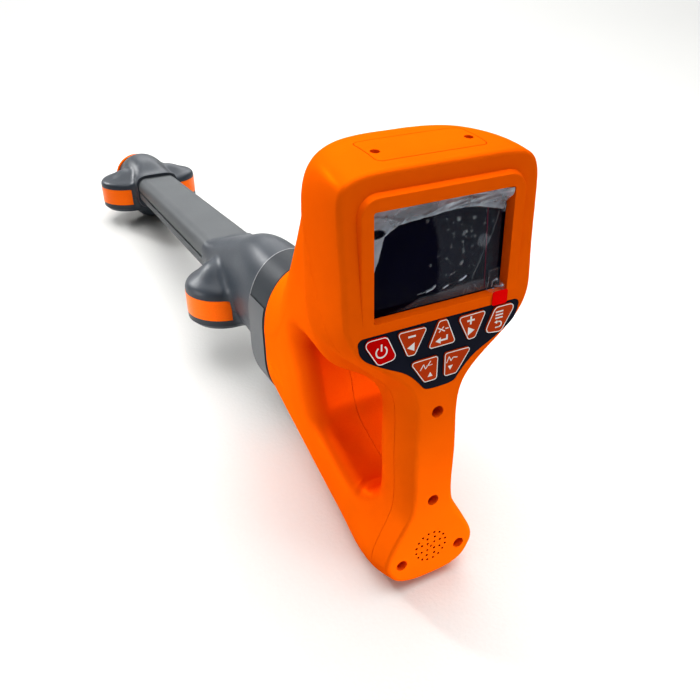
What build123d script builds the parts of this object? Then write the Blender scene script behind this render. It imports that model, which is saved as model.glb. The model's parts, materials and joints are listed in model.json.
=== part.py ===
"""Pipe locator: a handle with a screen and seven keys, a collar, a flattened stick and two antenna nodes.

Sizes are in millimetres. The pieces are modelled with the front face on the plane Y = 0, X to the right,
Y away from the user along the stick and Z up, with the origin in the middle of the screen. At the end
each piece is turned and moved to the way the locator lies on a table: on its foot and its lower node.
"""
import math
import os
from typing import NamedTuple

from build123d import *

# Overall sizes
HEAD_HALF_WIDTH = 51.6
HEAD_TOP = 42.0
HEAD_DEPTH = 50.0
HEAD_RISE = 5.2
HEAD_FLARE = 1.4
FOOT_HALF_WIDTH = 28.3
FOOT_BOTTOM = -202.0
FOOT_MIDDLE = -180.0
HANDLE_LENGTH = 159.0
STICK_LENGTH = 238.0

# Walls and clearances
WALL = 3.0
FRONT_WALL = 6.0
END_WALL = 4.0
SEAM = 0.3
CLEARANCE = 0.3
SNUG = 0.15

# Grip and finger opening
GRIP_FACE_HALF = 12.8
GRIP_HALF_WIDTH = 18.0
GRIP_WAIST = 0.6
GRIP_DEPTH = 37.0
NECK_LEVEL = -77.0
SHOULDER_LEVEL = -30.0
ANKLE_LEVEL = -150.0
SEAM_DEPTH = 14.0
GAP_TOP = -79.0
GAP_BOTTOM = -159.0
GAP_REAR = 107.0
GAP_ELBOW_DEPTH = 90.0
GAP_ELBOW_LEVEL = -141.0
GAP_TOE = 9.0
GAP_CORNER = 8.0
GAP_ELBOW_ROUND = 24.0
GAP_TOE_ROUND = 4.0
GAP_ROUND = 14.0

# Front face
FACE_LEAN = 3.5
FACE_LEAN_START = -27.0
FACE_EDGE = 2.8
SCREEN_WIDTH = 75.0
SCREEN_HEIGHT = 53.2
SCREEN_CORNER = 1.2
PAD_SIDE = 6.0
PAD_TOP = 6.0
PAD_BOTTOM = 3.4
PAD_CORNER = 9.0
PAD_DRAFT = 26.0
PAD_EDGE = 0.8

# Screen stack
GASKET_THICKNESS = 0.5
GASKET_LAP = 4.5
PANE_THICKNESS = 1.5
MODULE_THICKNESS = 5.0
FILM_THICKNESS = 0.2
FILM_EDGE = 0.3
TAB_WIDTH = 9.4
TAB_HEIGHT = 7.6
TAB_OVERHANG = 0.5
TAB_TOP = -25.0
TAB_THICKNESS = 0.3
BOARD_THICKNESS = 1.6
BOARD_DEPTH = 16.0
POST_RADIUS = 2.4
POST_LEVEL = 20.0

# Keys
OVERLAY_TOP = -32.2
OVERLAY_HALF = 46.4
OVERLAY_BOTTOM = -70.4
OVERLAY_THICKNESS = 0.6
OVERLAY_CORNER = 3.0
KEY_RISE = 0.8
KEY_FLANGE = 1.0
KEY_FLANGE_THICKNESS = 1.2
KEY_EDGE = 0.3
KEY_TRAVEL = 0.6
KEY_BOARD_DEPTH = 8.6
KEY_PLUNGER = 1.5

# Speaker, screws and service cover
GRILLE_LEVEL = -179.4
GRILLE_RADIUS = 9.9
GRILLE_HOLE = 0.75
GRILLE_RINGS = ((1, 4), (2, 8), (3, 16))
SPEAKER_SEAT = 2.5
SPEAKER_RADIUS = 12.5
SPEAKER_HEIGHT = 7.0
SPEAKER_GASKET = 0.6
SCREW_SINK = 3.5
SCREW_SINK_DEPTH = 9.0
SCREW_HOLE = 1.7
SCREW_PILOT = 1.2
SCREW_BOSS = 4.6
SCREW_UPPER_LEVEL = -86.2
SCREW_LOWER_LEVEL = -145.2
SCREW_FOOT_OFFSET = 19.4
SCREW_FOOT_LEVEL = -185.9
COVER_HALF_WIDTH = 29.0
COVER_FRONT = 12.0
COVER_BACK = 36.0
COVER_THICKNESS = 2.0
COVER_CORNER = 3.0
COVER_GAP = 0.4
COVER_SCREW_OFFSET = 24.9
COVER_SCREW_DEPTH = 21.8
COVER_SCREW_SINK = 2.3
COVER_GASKET = 0.8
COVER_LEDGE = 3.0

# Collar, stick and nodes
COLLAR_HALF_WIDTH = 33.0
COLLAR_HALF_HEIGHT = 53.0
COLLAR_LENGTH = 30.0
COLLAR_WALL = 4.0
COLLAR_LINE = 0.5
COLLAR_EDGE = 1.0
SPIGOT_LENGTH = 14.0
AXIS_LEVEL = -115.0
WING_LEVEL = -128.8
WING_OFFSET = 22.6
WING_RADIUS = 30.4
WING_RIM = 10.0
UPPER_CROWN = 32.0
LOWER_CROWN = 24.0
WING_BELLY = 17.0
WING_SHOULDER = 7.0
UPPER_SWELL = 9.2
LOWER_SWELL = 6.3
NODE_HALF_WIDTH = 29.0
NODE_TOP = -65.5
NODE_BOTTOM = -151.0
NODE_MIDDLE = -110.0
CABLE_HOLE = 8.0
STRIP_HEIGHT = 17.0
STRIP_THICKNESS = 0.8
STRIP_PROUD = 0.2
STRIP_REACH = 82.0
UPPER_NODE_LENGTH = 133.0
UPPER_WING_DEPTH = 88.0
STICK_HALF_WIDTH = 23.5
STICK_HALF_HEIGHT = 15.5
STICK_CORNER = 10.0
STICK_TAPER = 0.9
STICK_WALL = 2.5
STICK_DROP = 6.5
STICK_SOCKET = 18.0
STICK_START_LEVEL = -113.0
GROOVE_HEIGHT = 2.6
GROOVE_DEPTH = 1.8
LOWER_NODE_LENGTH = 93.0
LOWER_WING_DEPTH = 45.0
LOWER_HALF_WIDTH = 26.0
LOWER_TOP = -95.5
LOWER_BOTTOM = -163.0
TIP_HALF_WIDTH = 26.0
TIP_HALF_HEIGHT = 26.0
TIP_LENGTH = 9.0
TIP_ROUND = 5.0
COIL_RADIUS = 7.0
ROD_RADIUS = 4.5
COIL_SHORTFALL = 14.0
WINDING_LENGTH = 30.0
UPRIGHT_LENGTH = 36.0
UPRIGHT_OFFSET = 24.0
NODE_LIP = 1.6
UPPER_BLEND = 10.0
LOWER_BLEND = 10.0

# Battery
BATTERY_HALF_WIDTH = 19.5
BATTERY_LENGTH = 36.0
BATTERY_HEIGHT = 66.0
BATTERY_ROUND = 6.0

UPPER_ANGLES = (82, 68, 56, 45, 34, 20, 6)
LOWER_ANGLES = (0, 20, 40, 58, 75)
SIDE_STEPS = (0.0, 0.25, 0.5, 0.75, 1.0)

COLLAR_START = HANDLE_LENGTH
COLLAR_END = HANDLE_LENGTH + COLLAR_LENGTH
UPPER_NODE_END = COLLAR_END + UPPER_NODE_LENGTH
UPPER_WING = COLLAR_END + UPPER_WING_DEPTH
LOWER_NODE_START = UPPER_NODE_END + STICK_LENGTH
LOWER_NODE_END = LOWER_NODE_START + LOWER_NODE_LENGTH
LOWER_WING = LOWER_NODE_START + LOWER_WING_DEPTH

POST_SIDE = SCREEN_WIDTH / 2 + GASKET_LAP + POST_RADIUS + SNUG
TAB_RIGHT = SCREEN_WIDTH / 2 + TAB_OVERHANG
KEY_POSTS = ((-24.0, -52.5), (24.0, -52.5), (0.0, -69.4))
FRONT_SCREWS = ((0.0, SCREW_UPPER_LEVEL), (0.0, SCREW_LOWER_LEVEL),
                (-SCREW_FOOT_OFFSET, SCREW_FOOT_LEVEL), (SCREW_FOOT_OFFSET, SCREW_FOOT_LEVEL))


class Station(NamedTuple):
    """One cross-section of the handle, at a depth behind the front face."""

    depth: float
    top: float
    head_half: float
    flare: float
    head_middle: float
    head_square: float
    shoulder: float
    neck: float
    grip_half: float
    waist: float
    ankle: float
    foot_half: float
    foot_middle: float
    foot_square: float
    bottom: float


class Ring(NamedTuple):
    """One oval cross-section of a node, at a depth behind the front face."""

    depth: float
    half: float
    top: float
    bottom: float
    middle: float
    square: float


def arc_points(half, middle, end, square, angles):
    """Points of a quarter of a squared oval, from the angles above its side."""
    points = []
    for angle in angles:
        across = math.cos(math.radians(angle)) ** (2 / square)
        along = math.sin(math.radians(angle)) ** (2 / square)
        points.append((half * across, middle + (end - middle) * along))
    return points


def handle_outline(station, inset=0.0):
    """Right half of a handle section, from the top of the middle line to its bottom."""
    head = station.head_half - inset
    crest = head + station.flare
    grip = station.grip_half - inset
    foot = station.foot_half - inset
    top = station.top - inset
    bottom = station.bottom + inset
    points = [(0.0, top)]
    points += arc_points(crest, station.head_middle, top, station.head_square, UPPER_ANGLES)
    points.append(((head + crest) / 2, (station.head_middle + station.shoulder) / 2))
    for step in SIDE_STEPS:
        fall = step * step * (3 - 2 * step)
        level = station.shoulder + (station.neck - station.shoulder) * step
        points.append((head + (grip - head) * fall, level))
    points.append((grip - station.waist, (station.neck + station.ankle) / 2))
    points.append((grip, station.ankle))
    points.append(((grip + foot) / 2, (station.ankle + station.foot_middle) / 2))
    points += arc_points(foot, station.foot_middle, bottom, station.foot_square, LOWER_ANGLES)
    points.append((0.0, bottom))
    return points


def ring_outline(ring):
    """Right half of a node section, from the top of the middle line to its bottom."""
    points = [(0.0, ring.top)]
    points += arc_points(ring.half, ring.middle, ring.top, ring.square, UPPER_ANGLES)
    points += arc_points(ring.half, ring.middle, ring.bottom, ring.square, LOWER_ANGLES)
    points.append((0.0, ring.bottom))
    return points


def shares(points):
    """Share of an outline's length reached at each of its points."""
    steps = [math.dist(start, end) for start, end in zip(points, points[1:])]
    reached = [0.0]
    for step in steps:
        reached.append(reached[-1] + step / sum(steps))
    return reached


def skin(sections):
    """A smooth face through the right halves of several sections, given as (depth, points)."""
    run = []
    for depth, points in sections:
        before = [(-x, z) for x, z in (points[2], points[1])]
        after = [(-x, z) for x, z in (points[-2], points[-3])]
        run.append((depth, before + points + after))
    columns = zip(*[shares(points) for depth, points in run])
    places = [sum(column) / len(run) for column in columns]
    wires = []
    for depth, points in run:
        bent = Edge.make_spline([(x, depth, z) for x, z in points], parameters=places)
        wires.append(Wire([bent]))
    return Shell.make_loft(wires).faces()[0]


def half_body(sections, front, back, start=0.0):
    """Right half of the solid inside a skin, between two depths."""
    first = (sections[0][0] - 10.0, sections[0][1])
    last = (sections[-1][0] + 10.0, sections[-1][1])
    cutter = skin([first] + sections + [last])
    reach = 4 * HEAD_HALF_WIDTH
    with BuildPart() as block:
        with BuildSketch(Plane.XZ.offset(-front)):
            with Locations((start, FOOT_BOTTOM / 2)):
                Rectangle(reach, 2 * reach, align=(Align.MIN, Align.CENTER))
        extrude(amount=-(back - front))
    pieces = block.part.split(cutter, keep=Keep.ALL).solids()
    return pieces.sort_by(Axis.X)[0]


def level_plane(depth):
    """Sketch plane across the stick, at a depth behind the front face, with X right and Z up."""
    return Plane.XZ.offset(-depth)


def blend(start, end, share):
    """Value at a share of the way between two values."""
    return start + (end - start) * share


FRONT_STATION = Station(0.0, HEAD_TOP, HEAD_HALF_WIDTH, HEAD_FLARE, 8.0, 7.0, SHOULDER_LEVEL, NECK_LEVEL,
                        GRIP_FACE_HALF, GRIP_WAIST, ANKLE_LEVEL, FOOT_HALF_WIDTH, FOOT_MIDDLE, 2.8, FOOT_BOTTOM)
SEAM_STATION = Station(SEAM_DEPTH, HEAD_TOP + 0.55 * HEAD_RISE, HEAD_HALF_WIDTH + 0.6, HEAD_FLARE, 8.0, 6.5,
                       SHOULDER_LEVEL - 4.0, NECK_LEVEL - 5.0, GRIP_HALF_WIDTH, GRIP_WAIST, ANKLE_LEVEL - 2.0,
                       FOOT_HALF_WIDTH + 2.5, FOOT_MIDDLE - 2.0, 2.9, FOOT_BOTTOM - 3.5)
GRIP_STATION = Station(GRIP_DEPTH - 3.0, HEAD_TOP + HEAD_RISE, HEAD_HALF_WIDTH - 0.6, HEAD_FLARE / 2, 8.0, 5.2,
                       SHOULDER_LEVEL - 8.0, NECK_LEVEL - 10.0, GRIP_HALF_WIDTH + 1.0, GRIP_WAIST, ANKLE_LEVEL,
                       FOOT_HALF_WIDTH + 3.0, FOOT_MIDDLE - 2.0, 2.8, FOOT_BOTTOM - 4.0)
HEAD_STATION = Station(HEAD_DEPTH, HEAD_TOP + HEAD_RISE - 0.5, HEAD_HALF_WIDTH - 2.8, 0.0, 6.0, 3.9,
                       SHOULDER_LEVEL - 6.0, NECK_LEVEL - 23.0, GRIP_HALF_WIDTH + 7.5, 0.0, ANKLE_LEVEL + 8.0,
                       FOOT_HALF_WIDTH + 2.6, FOOT_MIDDLE + 3.0, 2.5, FOOT_BOTTOM - 1.0)
COLLAR_STATION = Station(COLLAR_START, AXIS_LEVEL + COLLAR_HALF_HEIGHT, COLLAR_HALF_WIDTH, 0.0, AXIS_LEVEL + 9.0,
                         2.05, AXIS_LEVEL + 7.0, AXIS_LEVEL, COLLAR_HALF_WIDTH, 0.0, AXIS_LEVEL - 7.0,
                         COLLAR_HALF_WIDTH, AXIS_LEVEL - 13.0, 2.05, AXIS_LEVEL - COLLAR_HALF_HEIGHT)


def between(share):
    """Handle section at a share of the way from the back of the head to the collar."""
    soon = 1 - (1 - share) ** 3
    sooner = 1 - (1 - share) ** 4
    eased = share * share * (3 - 2 * share)
    head, end = HEAD_STATION, COLLAR_STATION
    return Station(
        blend(head.depth, end.depth, share),
        blend(head.top, end.top, eased),
        blend(head.head_half, end.head_half, sooner),
        blend(head.flare, end.flare, share),
        blend(head.head_middle, end.head_middle, eased),
        blend(head.head_square, end.head_square, soon),
        blend(head.shoulder, end.shoulder, share),
        blend(head.neck, end.neck, share),
        blend(head.grip_half, end.grip_half, soon),
        blend(head.waist, end.waist, share),
        blend(head.ankle, end.ankle, share),
        blend(head.foot_half, end.foot_half, share),
        blend(head.foot_middle, end.foot_middle, share),
        blend(head.foot_square, end.foot_square, share),
        blend(head.bottom, end.bottom, share),
    )


STATIONS = [FRONT_STATION, SEAM_STATION, GRIP_STATION, HEAD_STATION,
            between(0.17), between(0.42), between(0.7), COLLAR_STATION]


def handle_half(front, back, inset=0.0, start=0.0):
    """Right half of the handle's solid form, drawn in by an inset."""
    return half_body([(s.depth, handle_outline(s, inset)) for s in STATIONS], front, back, start)


def finger_opening(grow=0.0):
    """Side view of the finger opening, grown outwards by a wall."""
    with BuildSketch(Plane.YZ) as outline:
        with BuildLine():
            Polyline((GRIP_DEPTH, GAP_TOP), (GAP_REAR, GAP_TOP - 2.0), (GAP_ELBOW_DEPTH, GAP_ELBOW_LEVEL),
                     (GRIP_DEPTH + GAP_TOE, GAP_BOTTOM), (GRIP_DEPTH, GAP_BOTTOM), close=True)
        make_face()
        rounds = [((GRIP_DEPTH, GAP_TOP), GAP_CORNER), ((GAP_REAR, GAP_TOP - 2.0), GAP_CORNER),
                  ((GAP_ELBOW_DEPTH, GAP_ELBOW_LEVEL), GAP_ELBOW_ROUND),
                  ((GRIP_DEPTH + GAP_TOE, GAP_BOTTOM), GAP_TOE_ROUND), ((GRIP_DEPTH, GAP_BOTTOM), GAP_TOE_ROUND)]
        for corner, radius in rounds:
            fillet(outline.vertices().sort_by_distance(corner)[0], radius)
        if grow > 0:
            offset(amount=grow)
    return outline.sketch


def front_zone(shift):
    """Side view of all that lies in front of the seam between front cover and rear housing."""
    depth = SEAM_DEPTH + shift
    with BuildSketch(Plane.YZ) as zone:
        with BuildLine():
            rise = Spline((depth + 46.0, HEAD_TOP + 14.0), (depth + 32.0, 9.0), (depth + 22.0, -12.0),
                          (depth + 7.6, -32.0), (depth, NECK_LEVEL),
                          tangents=[(-0.42, -1.0), (0.0, -1.0)])
            Polyline(rise @ 1, (depth, 1.5 * FOOT_BOTTOM), (-20.0, 1.5 * FOOT_BOTTOM),
                     (-20.0, HEAD_TOP + 14.0), rise @ 0)
        make_face()
    return zone.sketch


def collar_face(depth, inset):
    """Oval outline of the collar on a plane across the stick, drawn in by an inset."""
    right = handle_outline(COLLAR_STATION, inset)
    left = [(-x, z) for x, z in reversed(right[1:-1])]
    with BuildSketch(level_plane(depth)) as face:
        with BuildLine():
            Spline(*(right + left), periodic=True)
        make_face()
    return face.sketch


def plan_face(half_width, front, back, corner, grow=0.0):
    """Rounded rectangle seen from above, grown by an amount, at the level of the head's top."""
    with BuildSketch(Plane.XY.offset(HEAD_TOP - 20.0)) as face:
        with Locations((0, (front + back) / 2)):
            RectangleRounded(2 * (half_width + grow), back - front + 2 * grow, max(corner + grow, 1.0))
    return face.sketch


def mirrored(points):
    """Points of an outline seen in the middle plane."""
    return [(-x, z) for x, z in reversed(points)]


# Keys: corner points of each outline on the front face and the rounding of its corners
OUTER_KEY = [(-44.6, -33.4), (-30.8, -33.4), (-24.8, -47.0), (-35.8, -48.4)]
INNER_KEY = [(-25.8, -33.4), (-8.4, -33.8), (-15.4, -47.9), (-19.8, -47.7)]
MIDDLE_KEY = [(-2.4, -32.6), (2.4, -32.6), (8.4, -47.0), (-8.4, -47.0)]
LOWER_KEY = [(-18.4, -51.8), (-1.8, -51.6), (-2.0, -65.3), (-9.6, -65.3)]
KEYS = {
    "key_power": (OUTER_KEY, 3.0),
    "key_minus": (INNER_KEY, 1.8),
    "key_enter": (MIDDLE_KEY, 1.8),
    "key_plus": (mirrored(INNER_KEY), 1.8),
    "key_menu": (mirrored(OUTER_KEY), 3.0),
    "key_up": (LOWER_KEY, 1.8),
    "key_down": (mirrored(LOWER_KEY), 1.8),
}


def key_face(name, depth, grow):
    """Outline of a key on a plane across the stick, grown by an amount."""
    points, corner = KEYS[name]
    with BuildSketch(level_plane(depth)) as face:
        with BuildLine():
            Polyline(*points, close=True)
        make_face()
        fillet(face.vertices(), corner)
        if grow > 0:
            offset(amount=grow)
    return face.sketch


def overlay_face(depth, grow):
    """Outline of the keypad overlay on a plane across the stick, grown by an amount."""
    half, top, bottom = OVERLAY_HALF + 1.5 * grow, OVERLAY_TOP, OVERLAY_BOTTOM - grow
    side = [(half - 0.8, top - 5.0), (half - 8.0, top - 14.8), (half - 18.0, top - 20.6),
            (half - 27.6, top - 26.2), (half - 36.0, bottom + 3.0), (0.0, bottom)]
    with BuildSketch(level_plane(depth)) as face:
        with BuildLine():
            curve = Spline(*side, tangents=[(-0.1, -1.0), (-1.0, 0.0)])
            Polyline(curve @ 0, (half, top + grow), (0.0, top + grow))
            mirror(about=Plane.YZ)
        make_face()
        fillet(face.vertices().filter_by(lambda corner: abs(corner.X) > half - 0.3), OVERLAY_CORNER)
    return face.sketch


# Handle form: the smooth outer shape with the finger opening, and the hollow inside it
with BuildPart() as handle_form:
    add(handle_half(0.0, COLLAR_START))
    extrude(finger_opening(), amount=3 * HEAD_HALF_WIDTH, mode=Mode.SUBTRACT)
    rims = handle_form.edges().filter_by(
        lambda edge: edge.center().X > GRIP_HALF_WIDTH / 2
        and GRIP_DEPTH - 5 < edge.center().Y < GAP_REAR + 5
        and GAP_BOTTOM - 5 < edge.center().Z < GAP_TOP + 5)
    fillet(rims, GAP_ROUND)

with BuildPart() as handle_hollow:
    add(handle_half(FRONT_WALL, COLLAR_START - END_WALL, WALL))
    extrude(finger_opening(WALL), amount=3 * HEAD_HALF_WIDTH, mode=Mode.SUBTRACT)
    rims = handle_hollow.edges().filter_by(
        lambda edge: edge.center().X > GRIP_HALF_WIDTH / 2
        and GRIP_DEPTH - WALL - 5 < edge.center().Y < GAP_REAR + WALL + 5
        and GAP_BOTTOM - WALL - 5 < edge.center().Z < GAP_TOP + WALL + 5)
    fillet(rims, GAP_ROUND - WALL)

# Service cover in the top of the head, its gasket and the frame that they sit on
with BuildPart() as cover_half:
    extrude(plan_face(COVER_HALF_WIDTH, COVER_FRONT, COVER_BACK, COVER_CORNER), amount=60)
    add(handle_half(0.0, HEAD_DEPTH), mode=Mode.INTERSECT)
    add(handle_half(-1.0, HEAD_DEPTH + 1.0, COVER_THICKNESS), mode=Mode.SUBTRACT)

with BuildPart() as service_cover:
    add(cover_half.part)
    mirror(about=Plane.YZ)
    with BuildSketch(Plane.XY.offset(HEAD_TOP - 20.0)):
        with Locations((-COVER_SCREW_OFFSET, COVER_SCREW_DEPTH), (COVER_SCREW_OFFSET, COVER_SCREW_DEPTH)):
            Circle(COVER_SCREW_SINK)
    extrude(amount=60, mode=Mode.SUBTRACT)

with BuildPart() as gasket_half:
    extrude(plan_face(COVER_HALF_WIDTH, COVER_FRONT, COVER_BACK, COVER_CORNER), amount=60)
    extrude(plan_face(COVER_HALF_WIDTH, COVER_FRONT, COVER_BACK, COVER_CORNER, -COVER_LEDGE / 2),
            amount=60, mode=Mode.SUBTRACT)
    add(handle_half(0.0, HEAD_DEPTH, COVER_THICKNESS), mode=Mode.INTERSECT)
    add(handle_half(-1.0, HEAD_DEPTH + 1.0, COVER_THICKNESS + COVER_GASKET), mode=Mode.SUBTRACT)

with BuildPart() as service_cover_gasket:
    add(gasket_half.part)
    mirror(about=Plane.YZ)

with BuildPart() as cover_pocket:
    extrude(plan_face(COVER_HALF_WIDTH, COVER_FRONT, COVER_BACK, COVER_CORNER, COVER_GAP), amount=60)
    add(handle_half(-1.0, HEAD_DEPTH + 1.0, COVER_THICKNESS + COVER_GASKET), mode=Mode.SUBTRACT)

with BuildPart() as cover_frame:
    extrude(plan_face(COVER_HALF_WIDTH, COVER_FRONT, COVER_BACK, COVER_CORNER, WALL / 2), amount=60)
    add(handle_half(0.0, HEAD_DEPTH, WALL / 2), mode=Mode.INTERSECT)
    add(handle_half(-1.0, HEAD_DEPTH + 1.0, 2 * WALL), mode=Mode.SUBTRACT)
    with BuildSketch(Plane.XY.offset(HEAD_TOP - 8.0)):
        with Locations((COVER_SCREW_OFFSET, COVER_SCREW_DEPTH)):
            Circle(SCREW_BOSS)
    extrude(amount=8 + HEAD_RISE - WALL)

# Raised pad round the screen
with BuildPart() as pad:
    with BuildSketch(level_plane(0)):
        with BuildLine():
            side = SCREEN_WIDTH / 2 + PAD_SIDE
            crest = SCREEN_HEIGHT / 2 + PAD_TOP
            hem = -SCREEN_HEIGHT / 2 - PAD_BOTTOM
            FilletPolyline((-side, hem), (-side, crest), (side, crest), (side, hem), radius=PAD_CORNER)
            Line((side, hem), (-side, hem))
        make_face()
    extrude(amount=-FRONT_WALL, taper=-PAD_DRAFT)
    crown = pad.faces().sort_by(Axis.Y)[0].edges().filter_by(lambda edge: edge.center().Z > hem + 1)
    fillet(crown, PAD_EDGE)

# Front cover
with BuildPart() as front_cover:
    add(handle_form.part)
    extrude(front_zone(-SEAM / 2), amount=3 * HEAD_HALF_WIDTH, mode=Mode.INTERSECT)
    with BuildSketch(Plane.YZ):
        with BuildLine():
            lean = FACE_LEAN / (HEAD_TOP - FACE_LEAN_START)
            crest = FACE_LEAN_START + 2 * FACE_LEAN / lean
            Polyline((0, FACE_LEAN_START), (2 * FACE_LEAN, crest), (-FACE_LEAN, crest),
                     (-FACE_LEAN, FACE_LEAN_START), close=True)
        make_face()
    extrude(amount=3 * HEAD_HALF_WIDTH, mode=Mode.SUBTRACT)
    edges_in_front = front_cover.edges().filter_by(
        lambda edge: edge.center().X > 1 and edge.bounding_box().max.Y < 1.4 * FACE_LEAN
        and edge.bounding_box().size.Z > 1)
    fillet(edges_in_front, FACE_EDGE)
    add(handle_hollow.part, mode=Mode.SUBTRACT)
    add(cover_frame.part)
    extrude(plan_face(COVER_HALF_WIDTH, COVER_FRONT, COVER_BACK, COVER_CORNER, -COVER_LEDGE),
            amount=60, mode=Mode.SUBTRACT)
    add(cover_pocket.part, mode=Mode.SUBTRACT)
    mirror(about=Plane.YZ)
    add(pad.part)
    with BuildSketch(level_plane(-1)):
        RectangleRounded(SCREEN_WIDTH, SCREEN_HEIGHT, SCREEN_CORNER)
    extrude(amount=-(FRONT_WALL + 2), mode=Mode.SUBTRACT)
    # posts for the two boards and bosses for the screws
    with BuildSketch(level_plane(FRONT_WALL - 1)):
        with Locations((POST_SIDE, POST_LEVEL), (-POST_SIDE, POST_LEVEL),
                       (POST_SIDE, -POST_LEVEL), (-POST_SIDE, -POST_LEVEL)):
            Circle(POST_RADIUS)
    extrude(amount=-(BOARD_DEPTH - FRONT_WALL + 1))
    with BuildSketch(level_plane(FRONT_WALL - 1)):
        with Locations(*KEY_POSTS):
            Circle(POST_RADIUS)
    extrude(amount=-(KEY_BOARD_DEPTH - FRONT_WALL + 1))
    with BuildSketch(level_plane(FRONT_WALL - 1)):
        with Locations(*FRONT_SCREWS):
            Circle(SCREW_BOSS)
    extrude(amount=-(SEAM_DEPTH - SEAM / 2 - FRONT_WALL + 1))
    # keypad recess and key openings
    extrude(overlay_face(0, SNUG), amount=-OVERLAY_THICKNESS, mode=Mode.SUBTRACT)
    for name in KEYS:
        extrude(key_face(name, 0, CLEARANCE), amount=-(FRONT_WALL + 1), mode=Mode.SUBTRACT)
    # screw sinks, speaker seat and grille
    with Locations(level_plane(0)):
        with Locations(*FRONT_SCREWS):
            CounterBoreHole(SCREW_HOLE, SCREW_SINK, SCREW_SINK_DEPTH, depth=SEAM_DEPTH + 1)
    with BuildSketch(level_plane(SPEAKER_SEAT)):
        with Locations((0, GRILLE_LEVEL)):
            Circle(SPEAKER_RADIUS + CLEARANCE)
    extrude(amount=-(FRONT_WALL + 1 - SPEAKER_SEAT), mode=Mode.SUBTRACT)
    with BuildSketch(level_plane(0)):
        with Locations((0, GRILLE_LEVEL)):
            Circle(GRILLE_HOLE)
            for ring, count in GRILLE_RINGS:
                with PolarLocations(GRILLE_RADIUS * ring / len(GRILLE_RINGS), count, start_angle=180 / count):
                    Circle(GRILLE_HOLE)
    extrude(amount=-(SPEAKER_SEAT + 1), mode=Mode.SUBTRACT)
    with BuildSketch(Plane.XY.offset(HEAD_TOP - 12.0)):
        with Locations((-COVER_SCREW_OFFSET, COVER_SCREW_DEPTH), (COVER_SCREW_OFFSET, COVER_SCREW_DEPTH)):
            Circle(SCREW_PILOT)
    extrude(amount=60, mode=Mode.SUBTRACT)

# Screen stack
with BuildPart() as window_gasket:
    with BuildSketch(level_plane(FRONT_WALL)):
        RectangleRounded(SCREEN_WIDTH + 2 * GASKET_LAP, SCREEN_HEIGHT + 2 * GASKET_LAP, 2 * SCREEN_CORNER)
        RectangleRounded(SCREEN_WIDTH + 2 * FILM_EDGE, SCREEN_HEIGHT + 2 * FILM_EDGE, SCREEN_CORNER,
                         mode=Mode.SUBTRACT)
    extrude(amount=-GASKET_THICKNESS)

PANE_FRONT = FRONT_WALL + GASKET_THICKNESS
PANE_BACK = PANE_FRONT + PANE_THICKNESS
MODULE_BACK = PANE_BACK + MODULE_THICKNESS

with BuildPart() as display_window:
    with BuildSketch(level_plane(PANE_FRONT)):
        RectangleRounded(SCREEN_WIDTH + 2 * GASKET_LAP, SCREEN_HEIGHT + 2 * GASKET_LAP, 2 * SCREEN_CORNER)
    extrude(amount=-PANE_THICKNESS)

with BuildPart() as display_module:
    with BuildSketch(level_plane(PANE_BACK)):
        RectangleRounded(SCREEN_WIDTH + GASKET_LAP, SCREEN_HEIGHT + GASKET_LAP, SCREEN_CORNER)
    extrude(amount=-MODULE_THICKNESS)
    with BuildSketch(level_plane(MODULE_BACK)):
        with Locations((0, -SCREEN_HEIGHT / 4)):
            Rectangle(SCREEN_WIDTH / 3, SCREEN_HEIGHT / 5)
    extrude(amount=-(BOARD_DEPTH - MODULE_BACK))

# Film on the pane, with a strip that climbs out of the recess to the pull tab
FILM_FRONT = PANE_FRONT - FILM_THICKNESS
STRIP_LEVEL = -SCREEN_HEIGHT / 2 + FILM_EDGE
with BuildPart() as protective_film:
    with BuildSketch(level_plane(FILM_FRONT)):
        RectangleRounded(SCREEN_WIDTH - 2 * FILM_EDGE, SCREEN_HEIGHT - 2 * FILM_EDGE, SCREEN_CORNER)
    extrude(amount=-FILM_THICKNESS)
    with BuildSketch(Plane.YZ.offset(TAB_RIGHT - TAB_WIDTH)):
        with BuildLine():
            face = -SNUG - FILM_THICKNESS
            Polyline((PANE_FRONT, STRIP_LEVEL), (PANE_FRONT, STRIP_LEVEL + FILM_THICKNESS),
                     (face, STRIP_LEVEL + FILM_THICKNESS), (face, TAB_TOP - TAB_HEIGHT),
                     (face + FILM_THICKNESS, TAB_TOP - TAB_HEIGHT), (face + FILM_THICKNESS, STRIP_LEVEL), close=True)
        make_face()
    extrude(amount=SCREEN_WIDTH / 2 - 2 * FILM_EDGE - TAB_RIGHT + TAB_WIDTH)

with BuildPart() as pull_tab:
    with BuildSketch(level_plane(-SNUG - FILM_THICKNESS)):
        with Locations((TAB_RIGHT - TAB_WIDTH / 2, TAB_TOP - TAB_HEIGHT / 2)):
            RectangleRounded(TAB_WIDTH - FILM_EDGE, TAB_HEIGHT, SCREEN_CORNER)
    extrude(amount=TAB_THICKNESS)

with BuildPart() as main_board:
    with BuildSketch(level_plane(BOARD_DEPTH)):
        RectangleRounded(2 * (POST_SIDE + POST_RADIUS), SCREEN_HEIGHT + 2 * GASKET_LAP, POST_RADIUS)
    extrude(amount=-BOARD_THICKNESS)
    with BuildSketch(level_plane(BOARD_DEPTH + BOARD_THICKNESS)):
        with GridLocations(SCREEN_WIDTH / 3, SCREEN_HEIGHT / 2, 3, 2):
            Rectangle(SCREEN_WIDTH / 6, SCREEN_HEIGHT / 5)
    extrude(amount=-2 * BOARD_THICKNESS)

# Keypad
with BuildPart() as keypad_overlay:
    extrude(overlay_face(0, 0), amount=-OVERLAY_THICKNESS)
    for name in KEYS:
        extrude(key_face(name, -1, CLEARANCE), amount=-(OVERLAY_THICKNESS + 2), mode=Mode.SUBTRACT)

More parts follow.
